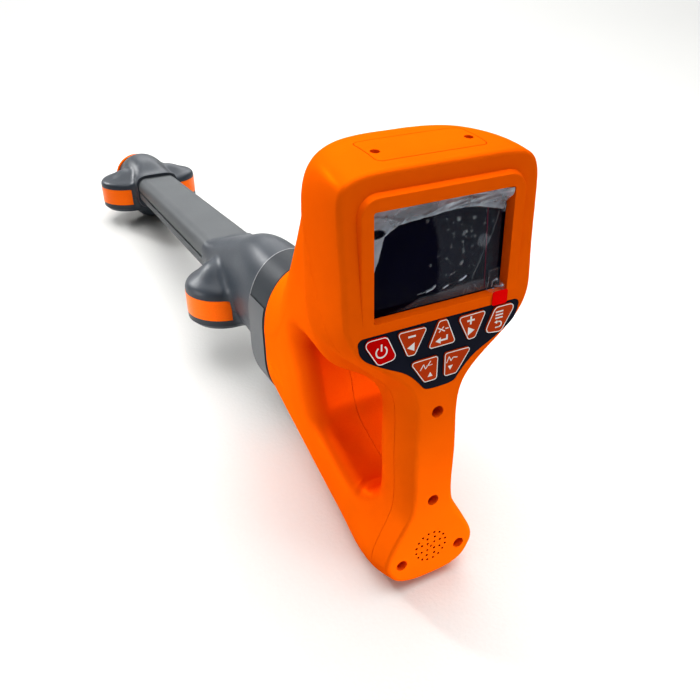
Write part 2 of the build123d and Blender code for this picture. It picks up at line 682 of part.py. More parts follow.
with BuildPart() as keypad_board:
    with BuildSketch(level_plane(KEY_BOARD_DEPTH)):
        with BuildLine():
            top = OVERLAY_TOP - 0.8
            Polyline((-41.0, top), (41.0, top), (27.0, -55.0), (8.0, OVERLAY_BOTTOM - 2.0),
                     (-8.0, OVERLAY_BOTTOM - 2.0), (-27.0, -55.0), close=True)
        make_face()
    extrude(amount=-BOARD_THICKNESS)


def make_key(name):
    """Key with a flange behind the front wall and a plunger that reaches its switch."""
    with BuildPart() as key:
        extrude(key_face(name, -KEY_RISE, 0), amount=-(KEY_RISE + FRONT_WALL))
        rim = key.faces().sort_by(Axis.Y)[0].edges()
        fillet(rim, KEY_EDGE)
        extrude(key_face(name, FRONT_WALL, KEY_FLANGE), amount=-KEY_FLANGE_THICKNESS)
        middle = key.faces().sort_by(Axis.Y)[-1].center()
        with BuildSketch(level_plane(FRONT_WALL)):
            with Locations((middle.X, middle.Z)):
                Circle(KEY_PLUNGER)
        extrude(amount=-(KEY_BOARD_DEPTH - KEY_TRAVEL - FRONT_WALL))
    return key


# Speaker
with BuildPart() as speaker_gasket:
    with BuildSketch(level_plane(SPEAKER_SEAT)):
        with Locations((0, GRILLE_LEVEL)):
            Circle(SPEAKER_RADIUS)
            Circle(GRILLE_RADIUS + GRILLE_HOLE + CLEARANCE, mode=Mode.SUBTRACT)
    extrude(amount=-SPEAKER_GASKET)

with BuildPart() as speaker:
    with BuildSketch(Plane.YZ):
        with BuildLine():
            start = SPEAKER_SEAT + SPEAKER_GASKET
            back = start + SPEAKER_HEIGHT
            level = GRILLE_LEVEL
            Polyline((start + 1.5, level), (start + 1.5, level + 0.3 * SPEAKER_RADIUS),
                     (start, level + 0.8 * SPEAKER_RADIUS), (start, level + SPEAKER_RADIUS),
                     (start + 1.5, level + SPEAKER_RADIUS),
                     (start + 0.6 * SPEAKER_HEIGHT, level + 0.7 * SPEAKER_RADIUS),
                     (back, level + 0.7 * SPEAKER_RADIUS), (back, level), close=True)
        make_face()
    revolve(axis=Axis((0, 0, GRILLE_LEVEL), (0, 1, 0)))

# Rear housing: two halves that meet on the middle plane, with a spigot that enters the collar
BATTERY_DEPTH = COLLAR_START - END_WALL - CLEARANCE - BATTERY_LENGTH / 2
with BuildPart() as rear_inside:
    with BuildSketch(level_plane(SEAM_DEPTH + SEAM / 2)):
        with Locations((SCREW_FOOT_OFFSET, SCREW_FOOT_LEVEL)):
            Circle(SCREW_BOSS)
        with Locations((SCREW_FOOT_OFFSET, SCREW_FOOT_LEVEL)):
            Rectangle(WALL, -FOOT_BOTTOM, align=(Align.CENTER, Align.MAX))
    extrude(amount=-2 * SEAM_DEPTH)
    for level in (AXIS_LEVEL - BATTERY_HEIGHT / 3, AXIS_LEVEL + BATTERY_HEIGHT / 3):
        with BuildSketch(Plane.XY.offset(level)):
            with Locations((BATTERY_HALF_WIDTH + SNUG, BATTERY_DEPTH)):
                Rectangle(COLLAR_HALF_WIDTH, 0.8 * BATTERY_LENGTH, align=(Align.MIN, Align.CENTER))
        extrude(amount=WALL, both=True)
    add(handle_form.part, mode=Mode.INTERSECT)

with BuildPart() as rear_half:
    add(handle_form.part)
    add(handle_hollow.part, mode=Mode.SUBTRACT)
    extrude(front_zone(SEAM / 2), amount=3 * HEAD_HALF_WIDTH, mode=Mode.SUBTRACT)
    add(rear_inside.part)
    extrude(collar_face(COLLAR_START - END_WALL, COLLAR_WALL + CLEARANCE), amount=-(END_WALL + SPIGOT_LENGTH))
    extrude(collar_face(COLLAR_START - 2 * END_WALL, COLLAR_WALL + CLEARANCE + WALL),
            amount=-(3 * END_WALL + SPIGOT_LENGTH), mode=Mode.SUBTRACT)
    with BuildSketch(level_plane(SEAM_DEPTH - 1)):
        with Locations((SCREW_FOOT_OFFSET, SCREW_FOOT_LEVEL)):
            Circle(SCREW_PILOT)
    extrude(amount=-SEAM_DEPTH, mode=Mode.SUBTRACT)
    split(bisect_by=Plane.YZ.offset(SEAM / 2), keep=Keep.TOP)

with BuildPart() as grip_bosses:
    with BuildSketch(level_plane(SEAM_DEPTH + SEAM / 2)):
        with Locations((0, SCREW_UPPER_LEVEL), (0, SCREW_LOWER_LEVEL)):
            Rectangle(2 * GRIP_HALF_WIDTH, WALL, align=(Align.MIN, Align.CENTER))
    extrude(amount=-(GRIP_DEPTH - WALL - SEAM_DEPTH - SEAM))
    add(handle_form.part, mode=Mode.INTERSECT)
    with BuildSketch(level_plane(SEAM_DEPTH + SEAM / 2)):
        with Locations((0, SCREW_UPPER_LEVEL), (0, SCREW_LOWER_LEVEL)):
            Circle(SCREW_BOSS)
    extrude(amount=-(GRIP_DEPTH - 2 * WALL - SEAM_DEPTH - SEAM))
    with BuildSketch(level_plane(SEAM_DEPTH)):
        with Locations((0, SCREW_UPPER_LEVEL), (0, SCREW_LOWER_LEVEL)):
            Circle(SCREW_PILOT)
    extrude(amount=-SEAM_DEPTH, mode=Mode.SUBTRACT)

with BuildPart() as rear_housing_right:
    add(rear_half.part)
    add(grip_bosses.part)

with BuildPart() as rear_housing_left:
    add(mirror(rear_half.part, about=Plane.YZ, mode=Mode.PRIVATE))

with BuildPart() as battery_pack:
    with BuildSketch(Plane.XY.offset(AXIS_LEVEL - BATTERY_HEIGHT / 2)):
        with Locations((0, BATTERY_DEPTH)):
            RectangleRounded(2 * BATTERY_HALF_WIDTH, BATTERY_LENGTH, BATTERY_ROUND)
    extrude(amount=BATTERY_HEIGHT)

# Collar
with BuildPart() as collar:
    extrude(collar_face(COLLAR_START + COLLAR_LINE, 0), amount=-(COLLAR_LENGTH - COLLAR_LINE))
    lips = collar.edges()
    fillet(lips, COLLAR_EDGE)
    extrude(collar_face(COLLAR_START, COLLAR_WALL), amount=-2 * COLLAR_LENGTH, mode=Mode.SUBTRACT)


def stick_space(grow, start, end):
    """Tapered solid of the stick between two depths, grown by an amount."""
    with BuildPart() as space:
        for depth in (start, end):
            share = (depth - UPPER_NODE_END) / STICK_LENGTH
            scale = blend(1.0, STICK_TAPER, share)
            with BuildSketch(level_plane(depth)):
                with Locations((0, STICK_START_LEVEL - STICK_DROP * share)):
                    RectangleRounded(2 * (STICK_HALF_WIDTH * scale + grow), 2 * (STICK_HALF_HEIGHT * scale + grow),
                                     STICK_CORNER * scale + grow)
        loft()
    return space.part


def stick_groove(side):
    """Long groove in one side of the stick."""
    with BuildPart() as groove:
        for depth in (UPPER_NODE_END - STICK_SOCKET, LOWER_NODE_START + STICK_SOCKET):
            share = (depth - UPPER_NODE_END) / STICK_LENGTH
            scale = blend(1.0, STICK_TAPER, share)
            with BuildSketch(level_plane(depth)):
                with Locations((side * STICK_HALF_WIDTH * scale, STICK_START_LEVEL - STICK_DROP * share)):
                    Rectangle(2 * GROOVE_DEPTH, GROOVE_HEIGHT)
        loft()
    return groove.part


with BuildPart() as stick:
    add(stick_space(0, UPPER_NODE_END - STICK_SOCKET, LOWER_NODE_START + STICK_SOCKET))
    add(stick_space(-STICK_WALL, UPPER_NODE_END - 2 * STICK_SOCKET, LOWER_NODE_START + 2 * STICK_SOCKET),
        mode=Mode.SUBTRACT)
    add(stick_groove(1), mode=Mode.SUBTRACT)
    add(stick_groove(-1), mode=Mode.SUBTRACT)


def lobe(depth, crown, swell):
    """Right wing lobe of a node, a domed disc."""
    radius = WING_RADIUS
    summit = WING_LEVEL + crown
    rim = WING_LEVEL + WING_RIM
    belly = WING_LEVEL - WING_BELLY
    with BuildPart() as disc:
        with BuildSketch(Plane.XZ.offset(-depth)):
            with BuildLine():
                top = Spline((WING_OFFSET, summit),
                             (WING_OFFSET + radius - WING_SHOULDER, rim + swell),
                             (WING_OFFSET + radius, rim), tangents=[(1, 0), (0, -1)])
                Polyline(top @ 1, (WING_OFFSET + radius, belly + WING_SHOULDER / 2),
                         (WING_OFFSET + radius - WING_SHOULDER / 2, belly), (WING_OFFSET, belly), top @ 0)
            make_face()
        revolve(axis=Axis((WING_OFFSET, depth, 0), (0, 0, 1)))
    return disc.part


def strip_ring(depth, inner, outer, height, reach):
    """Segment of a ring round the outer end of a right wing lobe."""
    with BuildPart() as ring:
        with BuildSketch(Plane.XY.offset(WING_LEVEL - height / 2)):
            with BuildLine():
                outside = CenterArc((WING_OFFSET, depth), outer, -reach, 2 * reach)
                inside = CenterArc((WING_OFFSET, depth), inner, -reach, 2 * reach)
                Line(outside @ 0, inside @ 0)
                Line(outside @ 1, inside @ 1)
            make_face()
        extrude(amount=height)
    return ring.part


UPPER_RINGS = [
    Ring(COLLAR_END - 1.0, NODE_HALF_WIDTH, NODE_TOP - 1.5, NODE_BOTTOM, NODE_MIDDLE, 2.1),
    Ring(COLLAR_END + 20.0, NODE_HALF_WIDTH, NODE_TOP, NODE_BOTTOM, NODE_MIDDLE, 2.1),
    Ring(COLLAR_END + 41.0, NODE_HALF_WIDTH - 1.5, NODE_TOP - 0.5, NODE_BOTTOM, NODE_MIDDLE - 1.0, 2.1),
    Ring(UPPER_WING - 30.0, NODE_HALF_WIDTH - 2.5, NODE_TOP - 4.5, NODE_BOTTOM, NODE_MIDDLE - 2.0, 2.1),
    Ring(UPPER_WING - 12.0, NODE_HALF_WIDTH - 2.0, NODE_TOP - 11.5, NODE_BOTTOM, NODE_MIDDLE - 4.0, 2.2),
    Ring(UPPER_WING + 5.0, NODE_HALF_WIDTH - 2.0, NODE_TOP - 17.5, NODE_BOTTOM, NODE_MIDDLE - 6.0, 2.4),
    Ring(UPPER_WING + 25.0, NODE_HALF_WIDTH - 2.5, NODE_TOP - 25.0, NODE_BOTTOM + 6.0, NODE_MIDDLE - 6.0, 2.7),
    Ring(UPPER_NODE_END, STICK_HALF_WIDTH + NODE_LIP, STICK_START_LEVEL + STICK_HALF_HEIGHT + NODE_LIP,
         STICK_START_LEVEL - STICK_HALF_HEIGHT - 3 * NODE_LIP, STICK_START_LEVEL - NODE_LIP, 4.2),
]
END_LEVEL = STICK_START_LEVEL - STICK_DROP
TIP_LEVEL = END_LEVEL - 8.5
LOWER_RINGS = [
    Ring(LOWER_NODE_START, STICK_HALF_WIDTH * STICK_TAPER + NODE_LIP, END_LEVEL + STICK_HALF_HEIGHT + NODE_LIP,
         END_LEVEL - STICK_HALF_HEIGHT - 2 * NODE_LIP, END_LEVEL, 4.2),
    Ring(LOWER_WING - 17.0, LOWER_HALF_WIDTH - 3.0, LOWER_TOP - 4.0, LOWER_BOTTOM + 5.0, END_LEVEL - 3.0, 2.4),
    Ring(LOWER_WING, LOWER_HALF_WIDTH - 0.5, LOWER_TOP - 0.5, LOWER_BOTTOM, END_LEVEL - 6.0, 2.2),
    Ring(LOWER_WING + 18.0, LOWER_HALF_WIDTH, LOWER_TOP, LOWER_BOTTOM, END_LEVEL - 6.0, 2.2),
    Ring(LOWER_NODE_END - 10.0, LOWER_HALF_WIDTH - 2.5, LOWER_TOP - 3.5, LOWER_BOTTOM + 5.0, END_LEVEL - 8.0, 2.2),
    Ring(LOWER_NODE_END, TIP_HALF_WIDTH - NODE_LIP, TIP_LEVEL + TIP_HALF_HEIGHT - NODE_LIP,
         TIP_LEVEL - TIP_HALF_HEIGHT + NODE_LIP, TIP_LEVEL, 2.1),
]


def node_half(rings, wing, crown, swell, blend_radius):
    """Right half of a node, its body blended into its wing lobe."""
    with BuildPart() as half:
        add(half_body([(ring.depth, ring_outline(ring)) for ring in rings], rings[0].depth, rings[-1].depth))
        add(lobe(wing, crown, swell))
        split(bisect_by=Plane.YZ, keep=Keep.TOP)
        body_face = half.faces().filter_by(GeomType.BSPLINE).sort_by(SortBy.AREA)[-1]
        ends = (half.faces().sort_by(Axis.Y)[0], half.faces().sort_by(Axis.Y)[-1])
        flat = [edge for end in ends for edge in end.edges()]
        meeting = body_face.edges().filter_by(
            lambda edge: edge.center().X > 1 and not any(edge.is_same(other) for other in flat))
        fillet(meeting, blend_radius)
    return half.part


def cross_coil(wing, grow):
    """Rod across a node with a winding in its middle, grown by an amount."""
    with BuildPart() as coil:
        with BuildSketch(Plane.YZ.offset(-COIL_REACH - grow)):
            with Locations((wing, WING_LEVEL)):
                Circle(ROD_RADIUS + grow)
        extrude(amount=2 * (COIL_REACH + grow))
        with BuildSketch(Plane.YZ.offset(-WINDING_LENGTH / 2 - grow)):
            with Locations((wing, WING_LEVEL)):
                Circle(COIL_RADIUS + grow)
        extrude(amount=WINDING_LENGTH + 2 * grow)
    return coil.part


def upright_coil(depth, grow):
    """Upright rod in a node with a winding round it, grown by an amount."""
    level = WING_LEVEL - UPRIGHT_LENGTH / 2
    with BuildPart() as coil:
        with BuildSketch(Plane.XY.offset(level - grow)):
            with Locations((0, depth)):
                Circle(ROD_RADIUS + grow)
        extrude(amount=UPRIGHT_LENGTH + 2 * grow)
        with BuildSketch(Plane.XY.offset(level + WALL - grow)):
            with Locations((0, depth)):
                Circle(COIL_RADIUS + grow)
        extrude(amount=UPRIGHT_LENGTH - 2 * WALL + 2 * grow)
    return coil.part


def node_body(rings, wing, crown, swell, upright, blend_radius, socket_start, socket_end):
    """Both shells of a node in one, with seats for strips and coils and a socket for the stick."""
    with BuildPart() as body:
        add(node_half(rings, wing, crown, swell, blend_radius))
        add(strip_ring(wing, WING_RADIUS - STRIP_THICKNESS, WING_RADIUS + 2.0, STRIP_HEIGHT + 2 * SNUG,
                       STRIP_REACH + 0.5), mode=Mode.SUBTRACT)
        mirror(about=Plane.YZ)
        add(stick_space(SNUG, socket_start, socket_end), mode=Mode.SUBTRACT)
        add(cross_coil(wing, SNUG), mode=Mode.SUBTRACT)
        add(upright_coil(upright, SNUG), mode=Mode.SUBTRACT)
    return body.part


COIL_REACH = WING_OFFSET + WING_RADIUS - COIL_SHORTFALL
UPPER_UPRIGHT = UPPER_WING - UPRIGHT_OFFSET
LOWER_UPRIGHT = LOWER_WING + UPRIGHT_OFFSET
upper_node = node_body(UPPER_RINGS, UPPER_WING, UPPER_CROWN, UPPER_SWELL, UPPER_UPRIGHT, UPPER_BLEND,
                       UPPER_NODE_END - STICK_SOCKET - CLEARANCE, UPPER_NODE_END + 1)
lower_node = node_body(LOWER_RINGS, LOWER_WING, LOWER_CROWN, LOWER_SWELL, LOWER_UPRIGHT, LOWER_BLEND,
                       LOWER_NODE_START - 1, LOWER_NODE_START + STICK_SOCKET + CLEARANCE)

with BuildPart() as node_plug:
    extrude(collar_face(COLLAR_END, COLLAR_WALL + CLEARANCE), amount=SPIGOT_LENGTH)
    extrude(collar_face(COLLAR_END - END_WALL, COLLAR_WALL + CLEARANCE + WALL), amount=SPIGOT_LENGTH,
            mode=Mode.SUBTRACT)
    with BuildSketch(level_plane(COLLAR_END + END_WALL)):
        with Locations((0, AXIS_LEVEL)):
            Circle(CABLE_HOLE)
    extrude(amount=2 * COLLAR_LENGTH, mode=Mode.SUBTRACT)

with BuildPart() as upper_node_top:
    add(upper_node)
    add(node_plug.part)
    split(bisect_by=Plane.XY.offset(WING_LEVEL + SEAM / 2), keep=Keep.TOP)

with BuildPart() as upper_node_bottom:
    add(upper_node)
    add(node_plug.part)
    split(bisect_by=Plane.XY.offset(WING_LEVEL - SEAM / 2), keep=Keep.BOTTOM)

with BuildPart() as lower_node_top:
    add(lower_node)
    split(bisect_by=Plane.XY.offset(WING_LEVEL + SEAM / 2), keep=Keep.TOP)

with BuildPart() as lower_node_bottom:
    add(lower_node)
    split(bisect_by=Plane.XY.offset(WING_LEVEL - SEAM / 2), keep=Keep.BOTTOM)


with BuildPart() as tip_cap:
    with BuildSketch(level_plane(LOWER_NODE_END)):
        with Locations((0, TIP_LEVEL)):
            Ellipse(TIP_HALF_WIDTH, TIP_HALF_HEIGHT)
    extrude(amount=-TIP_LENGTH)
    fillet(tip_cap.faces().sort_by(Axis.Y)[-1].edges(), TIP_ROUND)


def make_strip(wing, side):
    """Reflective strip round the outer end of a wing lobe."""
    ring = strip_ring(wing, WING_RADIUS - STRIP_THICKNESS, WING_RADIUS + STRIP_PROUD, STRIP_HEIGHT, STRIP_REACH)
    with BuildPart() as strip:
        add(ring)
        if side < 0:
            mirror(about=Plane.YZ, mode=Mode.REPLACE)
    return strip


with BuildPart() as upper_coil_cross:
    add(cross_coil(UPPER_WING, 0))

with BuildPart() as upper_coil_upright:
    add(upright_coil(UPPER_UPRIGHT, 0))

with BuildPart() as lower_coil_cross:
    add(cross_coil(LOWER_WING, 0))

with BuildPart() as lower_coil_upright:
    add(upright_coil(LOWER_UPRIGHT, 0))

PIECES = {
    "front_cover": front_cover, "rear_housing_left": rear_housing_left, "rear_housing_right": rear_housing_right,
    "service_cover": service_cover, "service_cover_gasket": service_cover_gasket,
    "window_gasket": window_gasket, "display_window": display_window, "display_module": display_module,
    "protective_film": protective_film, "pull_tab": pull_tab, "main_board": main_board,
    "keypad_overlay": keypad_overlay, "keypad_board": keypad_board,
    "speaker_gasket": speaker_gasket, "speaker": speaker, "battery_pack": battery_pack,
    "collar": collar, "upper_node_top": upper_node_top, "upper_node_bottom": upper_node_bottom,
    "upper_strip_left": make_strip(UPPER_WING, -1), "upper_strip_right": make_strip(UPPER_WING, 1),
    "upper_coil_cross": upper_coil_cross, "upper_coil_upright": upper_coil_upright,
    "stick": stick, "lower_node_top": lower_node_top, "lower_node_bottom": lower_node_bottom,
    "lower_strip_left": make_strip(LOWER_WING, -1), "lower_strip_right": make_strip(LOWER_WING, 1),
    "lower_coil_cross": lower_coil_cross, "lower_coil_upright": lower_coil_upright,
    "tip_cap": tip_cap,
}
for name in KEYS:
    PIECES[name] = make_key(name)


def lowest(piece, tilt):
    """Lowest level of a piece after a turn about the X axis."""
    return piece.part.rotate(Axis.X, tilt).bounding_box().min.Z


# Rest: the foot and the lower node lie on the table
tilt = 0.0
for step in range(5):
    rise = lowest(lower_node_bottom, tilt) - min(lowest(rear_housing_right, tilt), lowest(front_cover, tilt))
    tilt -= math.degrees(math.atan2(rise, LOWER_WING))
turned = Location((0, 0, 0), (tilt, 0, 0))
front_reach = min(piece.part.moved(turned).bounding_box().min.Y for piece in PIECES.values())
back_reach = max(piece.part.moved(turned).bounding_box().max.Y for piece in PIECES.values())
floor = min(piece.part.moved(turned).bounding_box().min.Z for piece in PIECES.values())
REST = Location((0, -(front_reach + back_reach) / 2, -floor)) * turned
print(f"tilt {tilt:.5f} middle {-(front_reach + back_reach) / 2:.5f} lift {-floor:.5f}")

os.makedirs("parts", exist_ok=True)
for name, piece in PIECES.items():
    placed = piece.part.moved(REST)
    placed.label = name
    export_step(placed, "parts/" + name + ".step")
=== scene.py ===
"""Looks of the pipe locator: finishes, prints, screws, screen film and studio."""

from __future__ import annotations

import json
import logging
import math
import random
from dataclasses import dataclass, replace
from enum import Enum

import bmesh
import bpy
from mathutils import Matrix, Vector, noise
from mathutils.bvhtree import BVHTree

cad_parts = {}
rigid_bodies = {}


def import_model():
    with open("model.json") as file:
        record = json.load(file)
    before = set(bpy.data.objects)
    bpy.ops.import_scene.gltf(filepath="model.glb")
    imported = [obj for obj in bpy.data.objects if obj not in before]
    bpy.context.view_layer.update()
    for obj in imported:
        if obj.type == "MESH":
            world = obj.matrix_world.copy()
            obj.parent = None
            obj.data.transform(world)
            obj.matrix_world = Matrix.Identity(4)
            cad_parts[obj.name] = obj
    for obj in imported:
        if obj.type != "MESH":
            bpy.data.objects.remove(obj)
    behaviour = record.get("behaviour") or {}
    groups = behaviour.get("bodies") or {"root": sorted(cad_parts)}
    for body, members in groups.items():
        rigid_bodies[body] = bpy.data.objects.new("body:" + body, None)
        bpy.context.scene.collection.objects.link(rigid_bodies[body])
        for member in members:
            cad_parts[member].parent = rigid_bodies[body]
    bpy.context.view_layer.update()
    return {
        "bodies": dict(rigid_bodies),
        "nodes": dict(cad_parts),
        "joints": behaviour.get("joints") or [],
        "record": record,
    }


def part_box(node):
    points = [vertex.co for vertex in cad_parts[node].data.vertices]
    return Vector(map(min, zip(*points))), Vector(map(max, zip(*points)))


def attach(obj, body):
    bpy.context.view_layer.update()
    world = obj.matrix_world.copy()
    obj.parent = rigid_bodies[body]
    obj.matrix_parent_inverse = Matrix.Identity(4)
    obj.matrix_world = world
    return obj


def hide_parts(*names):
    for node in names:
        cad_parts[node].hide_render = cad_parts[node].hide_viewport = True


LOG = logging.getLogger("pipe_locator")
Colour = tuple[float, float, float]
Point = tuple[float, float]
Spot = tuple[float, float, float]
Line = tuple[Point, ...]
Nodes = dict[str, bpy.types.Object]
Material = bpy.types.Material
Shape = bmesh.types.BMesh
Socket = bpy.types.NodeSocket

BODY = "locator"
MILLIMETRE = 0.001
# Places of the Mix node's sockets when it mixes colours.
MIX_SHARE, MIX_FIRST, MIX_SECOND, MIX_RESULT = 0, 6, 7, 2


def smooth(share: float) -> float:
    """Eases a share between 0 and 1."""
    held = min(1.0, max(0.0, share))
    return held * held * (3.0 - 2.0 * held)


def mixed(first: float, last: float, share: float) -> float:
    """The value a share of the way from first to last."""
    return first + (last - first) * share


def level_at(line: Line, place: float) -> float:
    """Height of a bent line at a place along it.

    Args:
        line: The line's corners in order.
        place: The place along it.

    Returns:
        The height, level with the line's ends past them.
    """
    for (start, low), (end, high) in zip(line, line[1:]):
        if place <= end:
            return mixed(low, high, max(0.0, (place - start) / (end - start)))
    return line[-1][1]


def distance(x: float, z: float, first: Point, last: Point) -> float:
    """Distance of a place from a straight line between two points.

    Args:
        x: Place across.
        z: Place upwards.
        first: The line's first end.
        last: The line's last end.

    Returns:
        The distance.
    """
    run = Vector(last) - Vector(first)
    away = Vector((x, z)) - Vector(first)
    share = min(1.0, max(0.0, away.dot(run) / run.length_squared))
    return (away - run * share).length


def everything(shape: Shape) -> list:
    """All vertices, edges and faces of a shape."""
    return shape.verts[:] + shape.edges[:] + shape.faces[:]


class Side(Enum):
    """Left or right of the middle plane, as the user sees it."""

    LEFT = -1
    RIGHT = 1


class Toward(Enum):
    """Side of a bent line on which an area lies."""

    ABOVE = "above"
    BELOW = "below"
    LEFT = "left"
    RIGHT = "right"


class Grain(Enum):
    """Grain of a face: its feature size and depth in metres."""

    PRINT = (0.0002, 0.00001)
    SMOOTH = (0.0003, 0.00001)
    FINE = (0.0003, 0.00002)
    EVEN = (0.0005, 0.00004)
    COARSE = (0.0007, 0.00006)


@dataclass(frozen=True)
class RestFrame:
    """Place of the locator's own upright frame, in millimetres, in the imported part's frame."""

    tilt: float
    origin: Vector
    pane_depth: float = 7.25

    @classmethod
    def read(cls, frame: dict) -> RestFrame:
        """Reads the tilt from a key's travel and the origin from the screen's pane.


        Returns:
            The frame whose origin is the middle of the screen on the front face.
        """
        axis = next(joint["axis"] for joint in frame["joints"] if joint["child"] == "key_enter")
        low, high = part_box("display_window")
        tilt = math.atan2(axis[2], axis[1])
        inward = Vector((0.0, math.cos(tilt), math.sin(tilt)))
        return cls(tilt, (low + high) / 2 - inward * cls.pane_depth * MILLIMETRE)

    def turn(self) -> Matrix:
        """The upright frame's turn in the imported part's frame."""
        return Matrix.Rotation(self.tilt, 4, "X")

    def matrix(self) -> Matrix:
        """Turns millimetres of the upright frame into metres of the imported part's frame."""
        return Matrix.Translation(self.origin) @ self.turn() @ Matrix.Scale(MILLIMETRE, 4)

    def point(self, x: float, y: float, z: float) -> Vector:
        """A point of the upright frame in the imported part's frame."""
        return self.matrix() @ Vector((x, y, z))


class NodeSketch:
    """Lays out the nodes of one material."""

    def __init__(self, name: str) -> None:
        """Starts a material with a Principled shader.

        Args:
            name: The material's name.
        """
        self.material = bpy.data.materials.new(name)
        self.material.use_nodes = True
        self.tree = self.material.node_tree
        self.shader = self.tree.nodes["Principled BSDF"]

    def add(self, kind: str, **inputs: float) -> bpy.types.Node:
        """Adds a node and sets its named inputs.

        Args:
            kind: The node's type name.
            inputs: Input values, with underscores for spaces in the names.

        Returns:
            The new node.
        """
        node = self.tree.nodes.new(kind)
        for name, value in inputs.items():
            node.inputs[name.replace("_", " ")].default_value = value
        return node

    def join(self, source: Socket, target: Socket) -> None:
        """Links two sockets."""
        self.tree.links.new(source, target)

    def set(self, **inputs: float | Colour) -> None:
        """Sets constant inputs of the shader.

        Args:
            inputs: Input values, with underscores for spaces in the names.
        """
        for name, value in inputs.items():
            socket = self.shader.inputs[name.replace("_", " ")]
            socket.default_value = (*value, 1.0) if isinstance(value, tuple) else value

    def feed(self, **sources: Socket) -> None:
        """Links values to inputs of the shader.

        Args:
            sources: Sockets, with underscores for spaces in the names of the inputs.
        """
        for name, source in sources.items():
            self.join(source, self.shader.inputs[name.replace("_", " ")])

    def place(self) -> Socket:
        """Object coordinates."""
        return self.add("ShaderNodeTexCoord").outputs["Object"]

    def noise(self, size: float, detail: float) -> Socket:
        """Soft noise of a feature size.

        Args:
            size: Feature size in metres.
            detail: Octaves of finer noise.

        Returns:
            The noise value's socket.
        """
        texture = self.add("ShaderNodeTexNoise", Scale=1.0 / size, Detail=detail)
        self.join(self.place(), texture.inputs["Vector"])
        return texture.outputs["Fac"]

    def cells(self, size: float) -> Socket:
        """Distance to the nearest of many cells.

        Args:
            size: Cell size in metres.

        Returns:
            The distance's socket.
        """
        texture = self.add("ShaderNodeTexVoronoi", Scale=1.0 / size)
        self.join(self.place(), texture.inputs["Vector"])
        return texture.outputs["Distance"]

    def spread(self, source: Socket, low: float, high: float,
               start: float = 0.3, end: float = 0.7) -> Socket:
        """Maps a range of a value onto another range.

        Args:
            source: The value.
            low: Result at start.
            high: Result at end.
            start: First value of the range.
            end: Last value of the range.

        Returns:
            The result's socket.
        """
        node = self.add("ShaderNodeMapRange", From_Min=start, From_Max=end, To_Min=low, To_Max=high)
        self.join(source, node.inputs["Value"])
        return node.outputs["Result"]

    def tint(self, share: Socket, first: Colour, second: Colour | Socket) -> Socket:
        """Mixes two colours.

        Args:
            share: Share of the second colour.
            first: Colour at 0.
            second: Colour at 1, plain or from another node.

        Returns:
            The colour's socket.
        """
        node = self.add("ShaderNodeMix")
        node.data_type = "RGBA"
        node.inputs[MIX_FIRST].default_value = (*first, 1.0)
        if isinstance(second, tuple):
            node.inputs[MIX_SECOND].default_value = (*second, 1.0)
        else:
            self.join(second, node.inputs[MIX_SECOND])
        self.join(share, node.inputs[MIX_SHARE])
        return node.outputs[MIX_RESULT]

    def shaded(self, share: Socket, colour: Colour, shade: float) -> Socket:
        """Mixes a colour with a darker one.

        Args:
            share: Share of the darker colour.
            colour: The colour.
            shade: Brightness of the darker one, as a factor.

        Returns:
            The colour's socket.
        """
        return self.tint(share, colour, tuple(part * shade for part in colour))

    def openness(self, reach: float, low: float, high: float) -> Socket:
        """How open the piece's own surface is: 0 in holes and corners, 1 on open faces.

        Args:
            reach: How far away the piece still covers its surface, in metres.
            low: Openness that counts as closed.
            high: Openness that counts as open.

        Returns:
            The value's socket.
        """
        node = self.add("ShaderNodeAmbientOcclusion", Distance=reach)
        node.samples = 6
        node.only_local = True
        return self.spread(node.outputs["AO"], 0.0, 1.0, low, high)

    def relief(self, height: Socket, depth: float, strength: float = 1.0) -> None:
        """Bumps the surface.

        Args:
            height: The height value.
            depth: Depth in metres.
            strength: Share of the bump.
        """
        node = self.add("ShaderNodeBump", Strength=strength, Distance=depth)
        self.join(height, node.inputs["Height"])
        self.feed(Normal=node.outputs["Normal"])


@dataclass(frozen=True)
class PaintedShade:
    """Painted shade: a darker colour where a piece's own form keeps the light out."""

    colour: Colour
    reach: float
    closed: float
    clear: float

    def over(self, sketch: NodeSketch, colour: Socket) -> Socket:
        """Lays the painted shade over another colour."""
        share = sketch.openness(self.reach, self.closed, self.clear)
        return sketch.tint(share, self.colour, colour)


@dataclass(frozen=True)
class MouldedPlastic:
    """Plastic from a spark-eroded mould: a fine grain, a slight mottle and an even sheen."""

    name: str
    colour: Colour
    shade: Colour
    roughness: float
    gloss: float
    grain: Grain = Grain.EVEN
    unevenness: float = 0.05
    mottle: float = 0.03
    sheen_tint: Colour = (1.0, 1.0, 1.0)
    depth_of_colour: float = 0.0
    painted_shades: tuple[PaintedShade, ...] = ()

    def make(self) -> Material:
        """Builds the material."""
        sketch = NodeSketch(self.name)
        size, depth = self.grain.value
        share = sketch.spread(sketch.noise(self.mottle, 4.0), 0.0, 1.0)
        colour = sketch.tint(share, self.colour, self.shade)
        # Painted shade in the piece's own holes and hollows, where given.
        for painted_shade in self.painted_shades:
            colour = painted_shade.over(sketch, colour)
        fine = sketch.noise(size, 2.0)
        low, high = self.roughness - self.unevenness, self.roughness + self.unevenness
        sketch.feed(Base_Color=colour, Roughness=sketch.spread(fine, low, high))
        sketch.relief(fine, depth)
        sketch.set(Specular_IOR_Level=self.gloss, Specular_Tint=self.sheen_tint,
                   Metallic=self.depth_of_colour)
        return sketch.material


